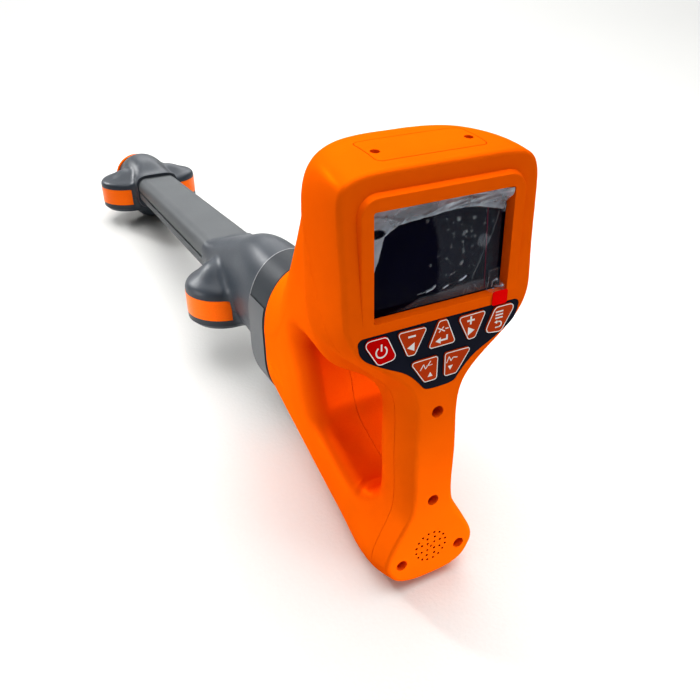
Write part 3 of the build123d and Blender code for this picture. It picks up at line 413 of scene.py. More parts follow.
@dataclass(frozen=True)
class ReflectiveSheet:
    """Self-adhesive reflective sheet with small cells under a clear glossy skin."""

    name: str
    colour: Colour
    shade: Colour
    sheen_tint: Colour = (1.0, 0.45, 0.1)
    cell: float = 0.0011
    cell_middle: float = 0.1
    cell_rim: float = 0.7
    wave: float = 0.004
    wave_depth: float = 0.00005

    def make(self) -> Material:
        """Builds the material."""
        sketch = NodeSketch(self.name)
        cells = sketch.cells(self.cell)
        share = sketch.spread(cells, 0.0, 1.0, self.cell_middle, self.cell_rim)
        rough = sketch.spread(cells, 0.28, 0.4, self.cell_middle, self.cell_rim)
        sketch.feed(Base_Color=sketch.tint(share, self.colour, self.shade), Roughness=rough)
        sketch.relief(sketch.noise(self.wave, 2.0), self.wave_depth, 0.5)
        sketch.set(Specular_IOR_Level=0.3, Specular_Tint=self.sheen_tint, Coat_Weight=0.05,
                   Coat_Roughness=0.12)
        return sketch.material


@dataclass(frozen=True)
class DarkPane:
    """Glossy window over a display that is switched off."""

    name: str
    colour: Colour
    shade: Colour
    gloss: float
    cloud: float = 0.05
    smear: float = 0.012
    wave: float = 0.02
    wave_depth: float = 0.00002

    def make(self) -> Material:
        """Builds the material."""
        sketch = NodeSketch(self.name)
        share = sketch.spread(sketch.noise(self.cloud, 2.0), 0.0, 1.0)
        rough = sketch.spread(sketch.noise(self.smear, 5.0), 0.05, 0.12)
        sketch.feed(Base_Color=sketch.tint(share, self.colour, self.shade), Roughness=rough)
        sketch.relief(sketch.noise(self.wave, 1.0), self.wave_depth, 0.3)
        sketch.set(Specular_IOR_Level=self.gloss)
        return sketch.material


@dataclass(frozen=True)
class ClearFilm:
    """Thin clear film, hazy where it has come off the pane; the haze is partly the film's milky
    look there and partly painted reflection.
    """

    name: str
    colour: Colour
    attribute: str = "haze_and_reflection"
    crinkle: float = 0.006
    crinkle_depth: float = 0.00008

    def make(self) -> Material:
        """Builds the material."""
        sketch = NodeSketch(self.name)
        # The attribute holds the film's haze, partly painted reflection, which sets its alpha.
        haze_and_reflection = sketch.add("ShaderNodeAttribute")
        haze_and_reflection.attribute_name = self.attribute
        crinkle = sketch.noise(self.crinkle, 2.0)
        haze = sketch.add("ShaderNodeMath")
        haze.operation = "MULTIPLY"
        sketch.join(haze_and_reflection.outputs["Fac"], haze.inputs[0])
        sketch.join(sketch.spread(crinkle, 0.88, 1.12), haze.inputs[1])
        sketch.feed(Alpha=haze.outputs[0], Base_Color=sketch.shaded(crinkle, self.colour, 0.8))
        sketch.relief(crinkle, self.crinkle_depth, 0.4)
        sketch.set(Roughness=0.16, Specular_IOR_Level=0.5)
        sketch.material.surface_render_method = "BLENDED"
        return sketch.material


@dataclass(frozen=True)
class FineMetal:
    """Bare or blackened metal of a small piece, with a fine uneven sheen."""

    name: str
    colour: Colour
    roughness: float = 0.38
    unevenness: float = 0.08
    grain: float = 0.0006

    def make(self) -> Material:
        """Builds the material."""
        sketch = NodeSketch(self.name)
        fine = sketch.noise(self.grain, 3.0)
        low, high = self.roughness - self.unevenness, self.roughness + self.unevenness
        sketch.feed(Base_Color=sketch.shaded(fine, self.colour, 0.6),
                    Roughness=sketch.spread(fine, low, high))
        sketch.set(Metallic=1.0)
        return sketch.material


@dataclass(frozen=True)
class PaleFloor:
    """Plain pale sheet that the locator lies on, with a glow that grows with distance."""

    name: str = "pale_floor"
    colour: Colour = (0.68, 0.68, 0.666)
    grain: float = 0.0025
    grain_depth: float = 0.0004
    glow: float = 0.5
    glow_start: float = 1.2
    glow_end: float = 5.0

    def make(self) -> Material:
        """Builds the material."""
        sketch = NodeSketch(self.name)
        share = sketch.noise(self.grain, 4.0)
        away = sketch.add("ShaderNodeVectorMath")
        away.operation = "LENGTH"
        sketch.join(sketch.place(), away.inputs[0])
        glow = sketch.spread(away.outputs["Value"], 0.0, self.glow, self.glow_start, self.glow_end)
        sketch.feed(Base_Color=sketch.shaded(share, self.colour, 0.97), Emission_Strength=glow)
        sketch.relief(share, self.grain_depth, 0.5)
        sketch.set(Roughness=0.8, Specular_IOR_Level=0.1, Emission_Color=(1.0, 1.0, 0.99))
        return sketch.material


# Painted shade by how closed the piece's own surface is: dark red in holes and narrow hollows, red
# in the cover's screw sinks, deep red inside the finger loop.
HOLE_SHADE = PaintedShade(colour=(0.3, 0.0, 0.0), reach=0.004, closed=0.38, clear=0.72)
COVER_HOLE_SHADE = replace(HOLE_SHADE, colour=(0.85, 0.03, 0.004))
FINGER_HOLLOW_SHADE = PaintedShade(colour=(0.6, 0.008, 0.0), reach=0.1, closed=0.42, clear=0.96)


class Finishes:
    """Every finish of the locator, made once."""

    def __init__(self) -> None:
        """Makes the materials."""
        self.make_shells()
        self.make_keypad()
        self.make_screen()
        self.make_small_pieces()

    def make_shells(self) -> None:
        """Makes the finishes of the handle, the collar, the stick and the nodes."""
        # The orange shells carry painted shade in their holes, in the cover's screw sinks and
        # inside the finger loop.
        shell = MouldedPlastic("orange_shell", (0.86, 0.138, 0.002), (0.82, 0.128, 0.002),
                               roughness=0.4, gloss=0.0, sheen_tint=(1.0, 0.42, 0.02),
                               depth_of_colour=0.16, painted_shades=(HOLE_SHADE,))
        self.orange = shell.make()
        self.loop = replace(shell, name="orange_loop", painted_shades=(FINGER_HOLLOW_SHADE, HOLE_SHADE)).make()
        self.cover = replace(shell, name="orange_cover", painted_shades=(COVER_HOLE_SHADE,)).make()
        self.dark = MouldedPlastic("dark_shell", (0.034, 0.042, 0.053), (0.029, 0.036, 0.046),
                                   roughness=0.42, gloss=0.32, grain=Grain.COARSE).make()
        self.collar = MouldedPlastic("collar_shell", (0.028, 0.033, 0.039), (0.024, 0.028, 0.033),
                                     roughness=0.46, gloss=0.15, grain=Grain.COARSE).make()
        self.grey = MouldedPlastic("grey_stick", (0.086, 0.093, 0.098), (0.076, 0.083, 0.088),
                                   roughness=0.5, gloss=0.2).make()
        self.strip = ReflectiveSheet("orange_strip", (1.0, 0.18, 0.006),
                                     (0.97, 0.155, 0.004)).make()
        self.label = MouldedPlastic("bare_label", (0.075, 0.081, 0.088), (0.066, 0.072, 0.078),
                                    roughness=0.4, gloss=0.35, grain=Grain.SMOOTH).make()
        # Light grey for the band round the collar's far end: a painted highlight.
        self.edge = MouldedPlastic("label_edge", (0.3, 0.31, 0.32), (0.26, 0.27, 0.28),
                                   roughness=0.4, gloss=0.3).make()

    def make_keypad(self) -> None:
        """Makes the finishes of the overlay, the keys and their prints."""
        self.overlay = MouldedPlastic("navy_overlay", (0.006, 0.008, 0.02), (0.008, 0.01, 0.024),
                                      roughness=0.42, gloss=0.06, grain=Grain.FINE).make()
        self.key_orange = MouldedPlastic("orange_key", (0.5, 0.055, 0.008), (0.46, 0.05, 0.007),
                                         roughness=0.4, gloss=0.04, grain=Grain.FINE,
                                         sheen_tint=(1.0, 0.4, 0.1), depth_of_colour=0.1).make()
        self.key_red = MouldedPlastic("red_key", (0.58, 0.0006, 0.0006), (0.53, 0.0006, 0.0006),
                                      roughness=0.4, gloss=0.02, grain=Grain.FINE,
                                      sheen_tint=(1.0, 0.1, 0.1), depth_of_colour=0.1).make()
        self.ink = MouldedPlastic("white_ink", (0.82, 0.82, 0.8), (0.76, 0.76, 0.75),
                                  roughness=0.5, gloss=0.2, grain=Grain.PRINT).make()

    def make_screen(self) -> None:
        """Makes the finishes of the pane, the display and the film on the pane."""
        self.pane = DarkPane("dark_pane", (0.0004, 0.0004, 0.006), (0.0004, 0.0004, 0.009),
                             gloss=0.05).make()
        self.display = DarkPane("black_display", (0.002, 0.002, 0.004), (0.004, 0.004, 0.006),
                                gloss=0.35).make()
        self.film = ClearFilm("clear_film", (0.64, 0.73, 0.84)).make()
        self.tab = MouldedPlastic("red_tab", (0.84, 0.0, 0.0), (0.78, 0.0, 0.0), roughness=0.3,
                                  gloss=0.03, sheen_tint=(1.0, 0.08, 0.08),
                                  depth_of_colour=0.1).make()
        # Dark purple for the line down the film, a painted reflection.
        self.seam = MouldedPlastic("film_reflection_line", (0.16, 0.004, 0.03), (0.13, 0.004, 0.026),
                                   roughness=0.4, gloss=0.1).make()

    def make_small_pieces(self) -> None:
        """Makes the finishes of the screws, the seals and the pieces inside."""
        self.seal = MouldedPlastic("black_seal", (0.012, 0.012, 0.013), (0.018, 0.018, 0.02),
                                   roughness=0.65, gloss=0.2).make()
        self.board = MouldedPlastic("green_board", (0.01, 0.09, 0.03), (0.012, 0.07, 0.026),
                                    roughness=0.4, gloss=0.4).make()
        self.battery = MouldedPlastic("blue_sleeve", (0.02, 0.05, 0.2), (0.02, 0.04, 0.16),
                                      roughness=0.35, gloss=0.4).make()
        self.driver = MouldedPlastic("dark_driver", (0.05, 0.003, 0.002), (0.04, 0.003, 0.002),
                                     roughness=0.6, gloss=0.1).make()
        self.winding = FineMetal("copper_winding", (0.72, 0.28, 0.12), roughness=0.3).make()
        self.screw = FineMetal("dark_screw", (0.04, 0.014, 0.012)).make()
        self.warm_screw = MouldedPlastic("warm_screw", (0.72, 0.03, 0.008), (0.66, 0.026, 0.006),
                                         roughness=0.5, gloss=0.1).make()


@dataclass(frozen=True)
class Workshop:
    """Turns shaped meshes into finished pieces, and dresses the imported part's nodes."""

    rest: RestFrame

    def piece(self, name: str, shape: Shape, finish: Material, body: str = BODY,
              slot: str | None = None, sharp: float = 0.6) -> bpy.types.Object:
        """Writes a shape in upright millimetres to a piece that rides on a body.

        Args:
            name: The piece's name.
            shape: The shape, which is freed.
            finish: The piece's material.
            body: The body that it rides on.
            slot: The record's material slot, if the piece shares one; not used.
            sharp: Angle in radians past which an edge stays sharp.

        Returns:
            The new object.
        """
        bmesh.ops.remove_doubles(shape, verts=shape.verts, dist=1e-5)
        bmesh.ops.recalc_face_normals(shape, faces=shape.faces)
        bmesh.ops.transform(shape, matrix=self.rest.matrix(), verts=shape.verts)
        mesh = bpy.data.meshes.new(name)
        shape.to_mesh(mesh)
        shape.free()
        mesh.shade_smooth()
        mesh.set_sharp_from_angle(angle=sharp)
        mesh.materials.append(finish)
        item = bpy.data.objects.new(name, mesh)
        bpy.context.scene.collection.objects.link(item)
        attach(item, body)
        LOG.info("piece %s: %d faces on %s", name, len(mesh.polygons), body)
        return item

    def dress(self, node: bpy.types.Object, finish: Material) -> None:
        """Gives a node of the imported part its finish.

        Args:
            node: The node's object.
            finish: The material.
        """
        node.data.materials.clear()
        node.data.materials.append(finish)
        LOG.info("node %s: %s", node.name, finish.name)


class Stroke:
    """One mark of a flat sign."""

    def draw(self, shape: Shape) -> None:
        """Adds the mark's faces to a flat shape."""
        raise NotImplementedError


@dataclass(frozen=True)
class Bar(Stroke):
    """Straight bar between the middles of its ends."""

    start: Point
    end: Point
    width: float

    def draw(self, shape: Shape) -> None:
        """Adds the bar to a flat shape."""
        reach = Vector(self.end) - Vector(self.start)
        middle = (Vector(self.start) + Vector(self.end)) / 2
        turn = Matrix.Rotation(math.atan2(reach.y, reach.x), 4, "Z")
        size = Matrix.Diagonal((reach.length, self.width, 1.0, 1.0))
        bmesh.ops.create_grid(shape, x_segments=1, y_segments=1, size=0.5,
                              matrix=Matrix.Translation((*middle, 0.0)) @ turn @ size)


@dataclass(frozen=True)
class Triangle(Stroke):
    """Triangle with equal sides; its turn in degrees points its first corner."""

    middle: Point
    radius: float
    turn: float

    def draw(self, shape: Shape) -> None:
        """Adds the triangle to a flat shape."""
        turn = Matrix.Rotation(math.radians(self.turn - 90), 4, "Z")
        bmesh.ops.create_circle(shape, cap_ends=True, segments=3, radius=self.radius,
                                matrix=Matrix.Translation((*self.middle, 0.0)) @ turn)


@dataclass(frozen=True)
class Arc(Stroke):
    """Arc from a first to a last angle in degrees."""

    middle: Point
    radius: float
    first: float
    last: float
    width: float
    step: float = 9.0

    def draw(self, shape: Shape) -> None:
        """Adds the arc to a flat shape."""
        start, reach = math.radians(self.first), self.last - self.first
        way = Vector((math.cos(start), math.sin(start), 0.0))
        centre = Vector((*self.middle, 0.0))
        ends = [shape.verts.new(centre + way * (self.radius + side * self.width / 2))
                for side in (-1, 1)]
        edge = shape.edges.new(ends)
        bmesh.ops.spin(shape, geom=[*ends, edge], cent=centre, axis=(0.0, 0.0, 1.0),
                       angle=math.radians(reach), steps=int(abs(reach) / self.step))


def raised(shape: Shape, height: float, depth: float) -> Shape:
    """Gives a flat shape a height and stands it on a plane across the stick.

    Args:
        shape: The flat shape.
        height: Its height.
        depth: Depth of its ground behind the front face.

    Returns:
        The same shape in the upright frame.
    """
    bmesh.ops.recalc_face_normals(shape, faces=shape.faces)
    for face in [face for face in shape.faces if face.normal.z < 0]:
        face.normal_flip()
    bmesh.ops.solidify(shape, geom=shape.faces[:], thickness=-height)
    stand = Matrix.Translation((0.0, depth, 0.0)) @ Matrix.Rotation(math.pi / 2, 4, "X")
    bmesh.ops.transform(shape, matrix=stand, verts=shape.verts)
    return shape


class KeySign(Enum):
    """What is printed on a key, as strokes in millimetres on the front."""

    POWER = (Arc((-34.0, -41.0), 2.9, 125.0, 415.0, 0.85),
             Bar((-34.0, -40.6), (-34.0, -36.9), 0.85))
    MINUS = (Bar((-19.6, -37.1), (-15.4, -37.1), 1.0),
             Triangle((-17.3, -42.9), 2.7, 180.0))
    ENTER = (Bar((-3.0, -36.4), (1.2, -39.0), 0.6),
             Bar((-2.2, -39.0), (-1.3, -38.1), 0.6),
             Bar((-0.5, -37.3), (0.4, -36.4), 0.6),
             Bar((1.4, -37.7), (3.2, -37.7), 0.6),
             Triangle((-2.0, -43.6), 2.0, 180.0),
             Bar((-1.2, -43.6), (2.6, -43.6), 1.0),
             Bar((2.6, -44.1), (2.6, -41.2), 1.0))
    PLUS = (Bar((14.2, -37.1), (18.6, -37.1), 1.0),
            Bar((16.4, -39.3), (16.4, -37.6), 1.0),
            Bar((16.4, -36.6), (16.4, -34.9), 1.0),
            Triangle((16.3, -42.9), 2.7, 0.0))
    MENU = (Bar((31.4, -36.5), (36.0, -36.5), 0.8),
            Bar((31.4, -38.2), (36.0, -38.2), 0.8),
            Bar((31.4, -39.9), (36.0, -39.9), 0.8),
            Arc((34.0, -43.6), 1.5, -90.0, 90.0, 0.75),
            Bar((34.0, -42.1), (32.6, -42.1), 0.75),
            Triangle((32.2, -42.1), 1.2, 180.0),
            Bar((34.0, -45.1), (31.8, -45.1), 0.75))
    UP = (Bar((-12.2, -57.6), (-10.3, -54.6), 0.5),
          Bar((-10.3, -54.6), (-9.2, -57.4), 0.5),
          Bar((-9.2, -57.4), (-6.2, -53.6), 0.5),
          Bar((-8.6, -55.8), (-5.2, -55.8), 0.4),
          Triangle((-6.3, -61.6), 1.7, 90.0))
    DOWN = (Bar((3.2, -57.6), (4.6, -54.2), 0.5),
            Bar((4.6, -54.2), (5.8, -57.0), 0.5),
            Bar((5.8, -57.0), (7.0, -55.2), 0.5),
            Bar((7.0, -55.2), (9.6, -55.8), 0.5),
            Triangle((5.6, -60.4), 1.7, 270.0))


@dataclass(frozen=True)
class KeyForm:
    """One key: its node, outline and sign."""

    node: str
    corners: Line
    rounding: float
    sign: KeySign

    def mirrored(self, node: str, sign: KeySign) -> KeyForm:
        """The key across the middle plane, with its own sign."""
        return KeyForm(node, tuple((-x, z) for x, z in reversed(self.corners)), self.rounding, sign)


POWER_KEY = KeyForm("key_power", ((-44.6, -33.4), (-30.8, -33.4), (-24.8, -47.0), (-35.8, -48.4)),
                    3.0, KeySign.POWER)
MINUS_KEY = KeyForm("key_minus", ((-25.8, -33.4), (-8.4, -33.8), (-15.4, -47.9), (-19.8, -47.7)),
                    1.8, KeySign.MINUS)
ENTER_KEY = KeyForm("key_enter", ((-2.4, -32.6), (2.4, -32.6), (8.4, -47.0), (-8.4, -47.0)),
                    1.8, KeySign.ENTER)
UP_KEY = KeyForm("key_up", ((-18.4, -51.8), (-1.8, -51.6), (-2.0, -65.3), (-9.6, -65.3)),
                 1.8, KeySign.UP)
KEYS = (POWER_KEY, MINUS_KEY, ENTER_KEY, MINUS_KEY.mirrored("key_plus", KeySign.PLUS),
        POWER_KEY.mirrored("key_menu", KeySign.MENU), UP_KEY,
        UP_KEY.mirrored("key_down", KeySign.DOWN))


@dataclass
class Keypad:
    """Overlay, keys and what is printed on them."""

    workshop: Workshop
    finishes: Finishes
    rise: float = 0.8
    ink_height: float = 0.05
    line_inset: float = 0.12
    line_width: float = 0.5

    def outline(self, form: KeyForm) -> Shape:
        """Line that runs round a key near its edge.

        Args:
            form: The key.

        Returns:
            The line's shape.
        """
        shape = bmesh.new()
        count = len(form.corners)
        corners = [shape.verts.new((x, z, 0.0)) for x, z in form.corners]
        shape.faces.new(corners)
        for index, corner in enumerate(corners):
            here = Vector(form.corners[index])
            before = (Vector(form.corners[index - 1]) - here).normalized()
            after = (Vector(form.corners[(index + 1) % count]) - here).normalized()
            run = form.rounding / math.tan(before.angle(after) / 2)
            bmesh.ops.bevel(shape, geom=[corner], offset=run, offset_type="OFFSET", segments=7,
                            profile=0.5, affect="VERTICES", material=-1)
        outer = bmesh.ops.inset_region(shape, faces=shape.faces[:], thickness=self.line_inset,
                                       use_even_offset=True, use_boundary=True)
        bmesh.ops.delete(shape, geom=outer["faces"], context="FACES")
        inner = shape.faces[:]
        bmesh.ops.inset_region(shape, faces=inner, thickness=self.line_width,
                               use_even_offset=True, use_boundary=True)
        bmesh.ops.delete(shape, geom=inner, context="FACES")
        return raised(shape, self.ink_height, -self.rise)

    def sign(self, sign: KeySign) -> Shape:
        """A key's sign at its place on the front.

        Args:
            sign: Which sign.

        Returns:
            The sign's shape.
        """
        shape = bmesh.new()
        for stroke in sign.value:
            stroke.draw(shape)
        return raised(shape, self.ink_height, -self.rise)

    def build(self, nodes: Nodes) -> None:
        """Dresses the keys and adds their prints.

        Args:
            nodes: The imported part's nodes.
        """
        shop, finishes = self.workshop, self.finishes
        shop.dress(nodes["keypad_overlay"], finishes.overlay)
        shop.dress(nodes["keypad_board"], finishes.board)
        for form in KEYS:
            red = form.sign is KeySign.POWER
            shop.dress(nodes[form.node], finishes.key_red if red else finishes.key_orange)
            shop.piece(form.node + "_outline", self.outline(form), finishes.ink, form.node)
            shop.piece(form.node + "_sign", self.sign(form.sign), finishes.ink, form.node)


@dataclass(frozen=True)
class Ripple:
    """Soft waves of the film: how much of x and z counts on each axis of the noise."""

    across: Point
    up: Point
    layer: float

    def at(self, x: float, z: float) -> float:
        """Height of the waves at a place, between -1 and 1.

        Args:
            x: Place across.
            z: Place upwards.

        Returns:
            The height.
        """
        return noise.noise(Vector((self.across[0] * x + self.across[1] * z,
                                   self.up[0] * x + self.up[1] * z, self.layer)))


@dataclass(frozen=True)
class LooseArea:
    """Area of the film that has come off the pane, on one side of a bent line."""

    line: Line
    toward: Toward
    blend: float
    haze: float
    ripple_haze: float = 0.0
    rise: float = 0.0
    overlap: float = 0.0
    raggedness: float = 0.0

    def share(self, x: float, z: float, fine: float) -> float:
        """How far a place lies inside the area.

        Args:
            x: Place to the right of the screen's middle.
            z: Place above it.
            fine: Fine noise at the place.

        Returns:
            0 outside, 1 past the blend.
        """
        if self.toward in (Toward.ABOVE, Toward.BELOW):
            inside = z - level_at(self.line, x)
        else:
            inside = x - level_at(self.line, z)
        if self.toward in (Toward.BELOW, Toward.LEFT):
            inside = -inside
        return smooth((inside + self.overlap + self.raggedness * fine) / self.blend)


@dataclass(frozen=True)
class LooseCorner:
    """Corner of the film that stands up: its rise and haze, and how uneven both are."""

    rise: float
    unevenness: float
    haze: float
    glint: float

    def lift(self, share: float, fine: float, glint: float) -> tuple[float, float]:
        """Stand-off and haze at a place.

        Args:
            share: How far the place lies inside the corner.
            fine: Fine noise at the place.
            glint: Share of a glint there.

        Returns:
            The stand-off in millimetres and the haze.
        """
        stand = share * (self.rise + self.unevenness * fine)
        return stand, share * (self.haze + self.glint * glint)


@dataclass(frozen=True)
class Bubble:
    """Air under the film: its place, radius, height and haze."""

    x: float
    z: float
    radius: float
    height: float = 0.2
    haze: float = 0.19
    least_haze: float = 0.05
    rim: float = 0.3

    def lift(self, x: float, z: float) -> tuple[float, float]:
        """Stand-off and haze that the bubble gives a place.

        Args:
            x: Place to the right of the screen's middle.
            z: Place above it.

        Returns:
            The stand-off in millimetres and the haze.
        """
        near = math.hypot(x - self.x, z - self.z) / self.radius
        if near >= 1.0:
            return 0.0, 0.0
        haze = self.least_haze + self.haze * smooth((1.0 - near) / self.rim)
        return self.height * (1.0 - near * near), haze


@dataclass(frozen=True)
class Fold:
    """Crease of the film: its line, half width, height and haze."""

    line: Line
    width: float
    height: float
    haze: float
    reach: float = 2.5

    def lift(self, x: float, z: float) -> tuple[float, float]:
        """Stand-off and haze that the crease gives a place.

        Args:
            x: Place to the right of the screen's middle.
            z: Place above it.

        Returns:
            The stand-off in millimetres and the haze.
        """
        away = min(distance(x, z, first, last) for first, last in zip(self.line, self.line[1:]))
        if away >= self.reach * self.width:
            return 0.0, 0.0
        ridge = math.exp(-(away / self.width) ** 2)
        return self.height * ridge, self.haze * ridge


BROAD_RIPPLE = Ripple(across=(0.07, 0.05), up=(-0.03, 0.14), layer=3.0)
FINE_RIPPLE = Ripple(across=(0.35, -0.2), up=(0.0, 0.5), layer=8.0)
STRIP_RIPPLE = Ripple(across=(0.5, 0.0), up=(0.0, 0.6), layer=5.0)
GLINTS = Ripple(across=(0.9, 0.0), up=(0.0, 1.1), layer=21.0)
TOP_BAND = LooseArea(
    ((-37.0, 9.5), (-33.2, 10.5), (-27.8, 12.8), (-21.3, 16.2), (-14.6, 16.7), (-5.6, 17.1),
     (2.8, 18.2), (13.8, 18.3), (21.9, 17.3), (33.7, 14.4), (37.0, 13.0)),
    Toward.ABOVE, blend=0.9, haze=0.62, ripple_haze=0.34, rise=0.9, raggedness=0.4)
LEFT_WEDGE = LooseArea(
    ((-26.0, -37.5), (-3.7, -33.6), (3.3, -31.0), (9.7, -29.2), (13.4, -27.8), (26.0, -20.0)),
    Toward.LEFT, blend=0.8, haze=0.68, ripple_haze=0.14, rise=0.5, raggedness=0.3)
RIGHT_VEIL = LooseArea(
    ((-26.0, 1.2), (-14.9, 1.0), (-3.2, 0.8), (6.9, -0.5), (16.7, -4.1), (26.0, -8.0)),
    Toward.RIGHT, blend=2.8, haze=0.044, overlap=1.3)
# Painted reflection of the recess's bottom wall, as a light haze along the film's lower edge.
LOW_REFLECTION = LooseArea(
    ((-37.0, -27.0), (-18.0, -24.5), (-9.6, -21.4), (0.2, -21.2), (8.2, -20.2), (20.3, -19.2),
     (29.0, -20.0), (31.0, -25.0), (37.0, -27.0)),
    Toward.BELOW, blend=1.6, haze=0.13)
TORN_CORNER = LooseCorner(rise=6.2, unevenness=0.3, haze=0.22, glint=0.25)
CURLED_CORNER = LooseCorner(rise=5.6, unevenness=0.7, haze=0.12, glint=0.75)
LARGE_BUBBLES = (
    Bubble(25.9, 0.4, 3.9, 0.3, 0.14), Bubble(10.9, 13.7, 1.4, 0.3, 0.2),
    Bubble(19.8, 12.8, 1.2, 0.3, 0.17), Bubble(14.3, 6.0, 1.2, 0.3, 0.22),
    Bubble(15.3, 6.8, 1.0, 0.3, 0.22), Bubble(20.6, 3.5, 0.9, 0.25, 0.17),
    Bubble(14.5, -3.2, 0.9), Bubble(13.6, -9.0, 1.1, 0.3, 0.22),
    Bubble(14.2, -8.2, 0.9, 0.3, 0.22), Bubble(18.7, 6.4, 0.7), Bubble(8.6, 6.9, 0.6),
    Bubble(8.7, 5.3, 0.6), Bubble(-6.3, 15.6, 1.1, 0.2, 0.09), Bubble(25.9, 8.9, 0.7),
    Bubble(30.9, 9.1, 0.6), Bubble(-3.8, -6.6, 0.9, 0.2, 0.08), Bubble(0.4, -2.8, 0.8, 0.2, 0.08),
    Bubble(8.3, -13.6, 0.7), Bubble(19.8, -1.3, 0.6),
)
FOLDS = (
    Fold(((33.8, 13.5), (30.7, 2.3), (27.8, -2.2), (24.3, -10.3), (20.3, -18.4)), 0.24, 0.4, 0.3),
    Fold(((29.6, 1.6), (28.8, -0.9), (27.6, -2.4)), 0.4, 0.2, 0.3),
    # Painted highlights: the next four strokes, crisp white haze on slight ridges low on the film.
    Fold(((-10.4, -19.9), (-5.6, -19.6)), 0.22, 0.3, 0.5),
    Fold(((-5.6, -19.6), (-2.4, -18.8), (-0.9, -17.6)), 0.5, 0.5, 0.85),
    Fold(((4.1, -19.7), (6.5, -18.7)), 0.42, 0.5, 0.9),
    Fold(((13.5, -17.7), (15.0, -17.3), (16.8, -16.2)), 0.5, 0.5, 0.9),
    Fold(((2.5, 22.4), (13.4, 23.3), (21.4, 22.4), (27.8, 23.6)), 0.7, 0.6, 0.55),
    Fold(((5.0, 19.8), (13.5, 21.4), (18.3, 22.2)), 0.6, 0.5, 0.5),
    Fold(((18.0, 18.8), (24.0, 20.6), (33.0, 21.0)), 0.7, 0.5, 0.5),
    Fold(((-20.9, 17.4), (-18.6, 19.6), (-16.6, 22.6)), 0.5, 0.4, 0.55),
    Fold(((-33.0, 22.0), (-26.0, 20.4), (-21.0, 18.0)), 0.8, 0.4, 0.45),
    Fold(((-8.0, 19.0), (0.0, 21.5)), 0.6, 0.4, 0.42),
    Fold(((31.2, -25.4), (30.9, -17.0), (37.0, -16.2)), 0.2, 0.2, 0.42),
    # Short creases low on the right: their white haze is painted glints where the crumpled film
    # catches the light.
    Fold(((18.3, -25.6), (18.8, -22.6)), 0.35, 0.3, 0.5),
    Fold(((20.2, -25.8), (20.0, -24.0)), 0.3, 0.3, 0.45),
    Fold(((22.4, -25.8), (22.6, -22.0), (24.2, -24.6)), 0.3, 0.3, 0.4),
    Fold(((26.0, -25.8), (26.4, -23.8)), 0.3, 0.3, 0.4),
    # A painted glint on the film's edge at the top right.
    Fold(((36.6, 13.0), (36.9, 16.5)), 0.35, 0.6, 0.6),
    # More short creases low on the right, with painted glints.
    Fold(((16.0, -25.9), (16.6, -23.4)), 0.3, 0.4, 0.55),
    Fold(((30.2, -25.6), (30.6, -23.0)), 0.3, 0.4, 0.55),
    Fold(((33.0, -25.4), (33.4, -22.6), (35.6, -21.6)), 0.4, 0.6, 0.8),
    Fold(((34.4, -25.2), (36.4, -23.4)), 0.4, 0.6, 0.9),
    Fold(((8.0, 24.4), (17.0, 25.0), (25.0, 24.2), (33.0, 25.2)), 0.5, 0.5, 0.8),
    Fold(((12.0, 19.6), (17.0, 20.4), (21.0, 19.6)), 0.4, 0.4, 0.72),
)


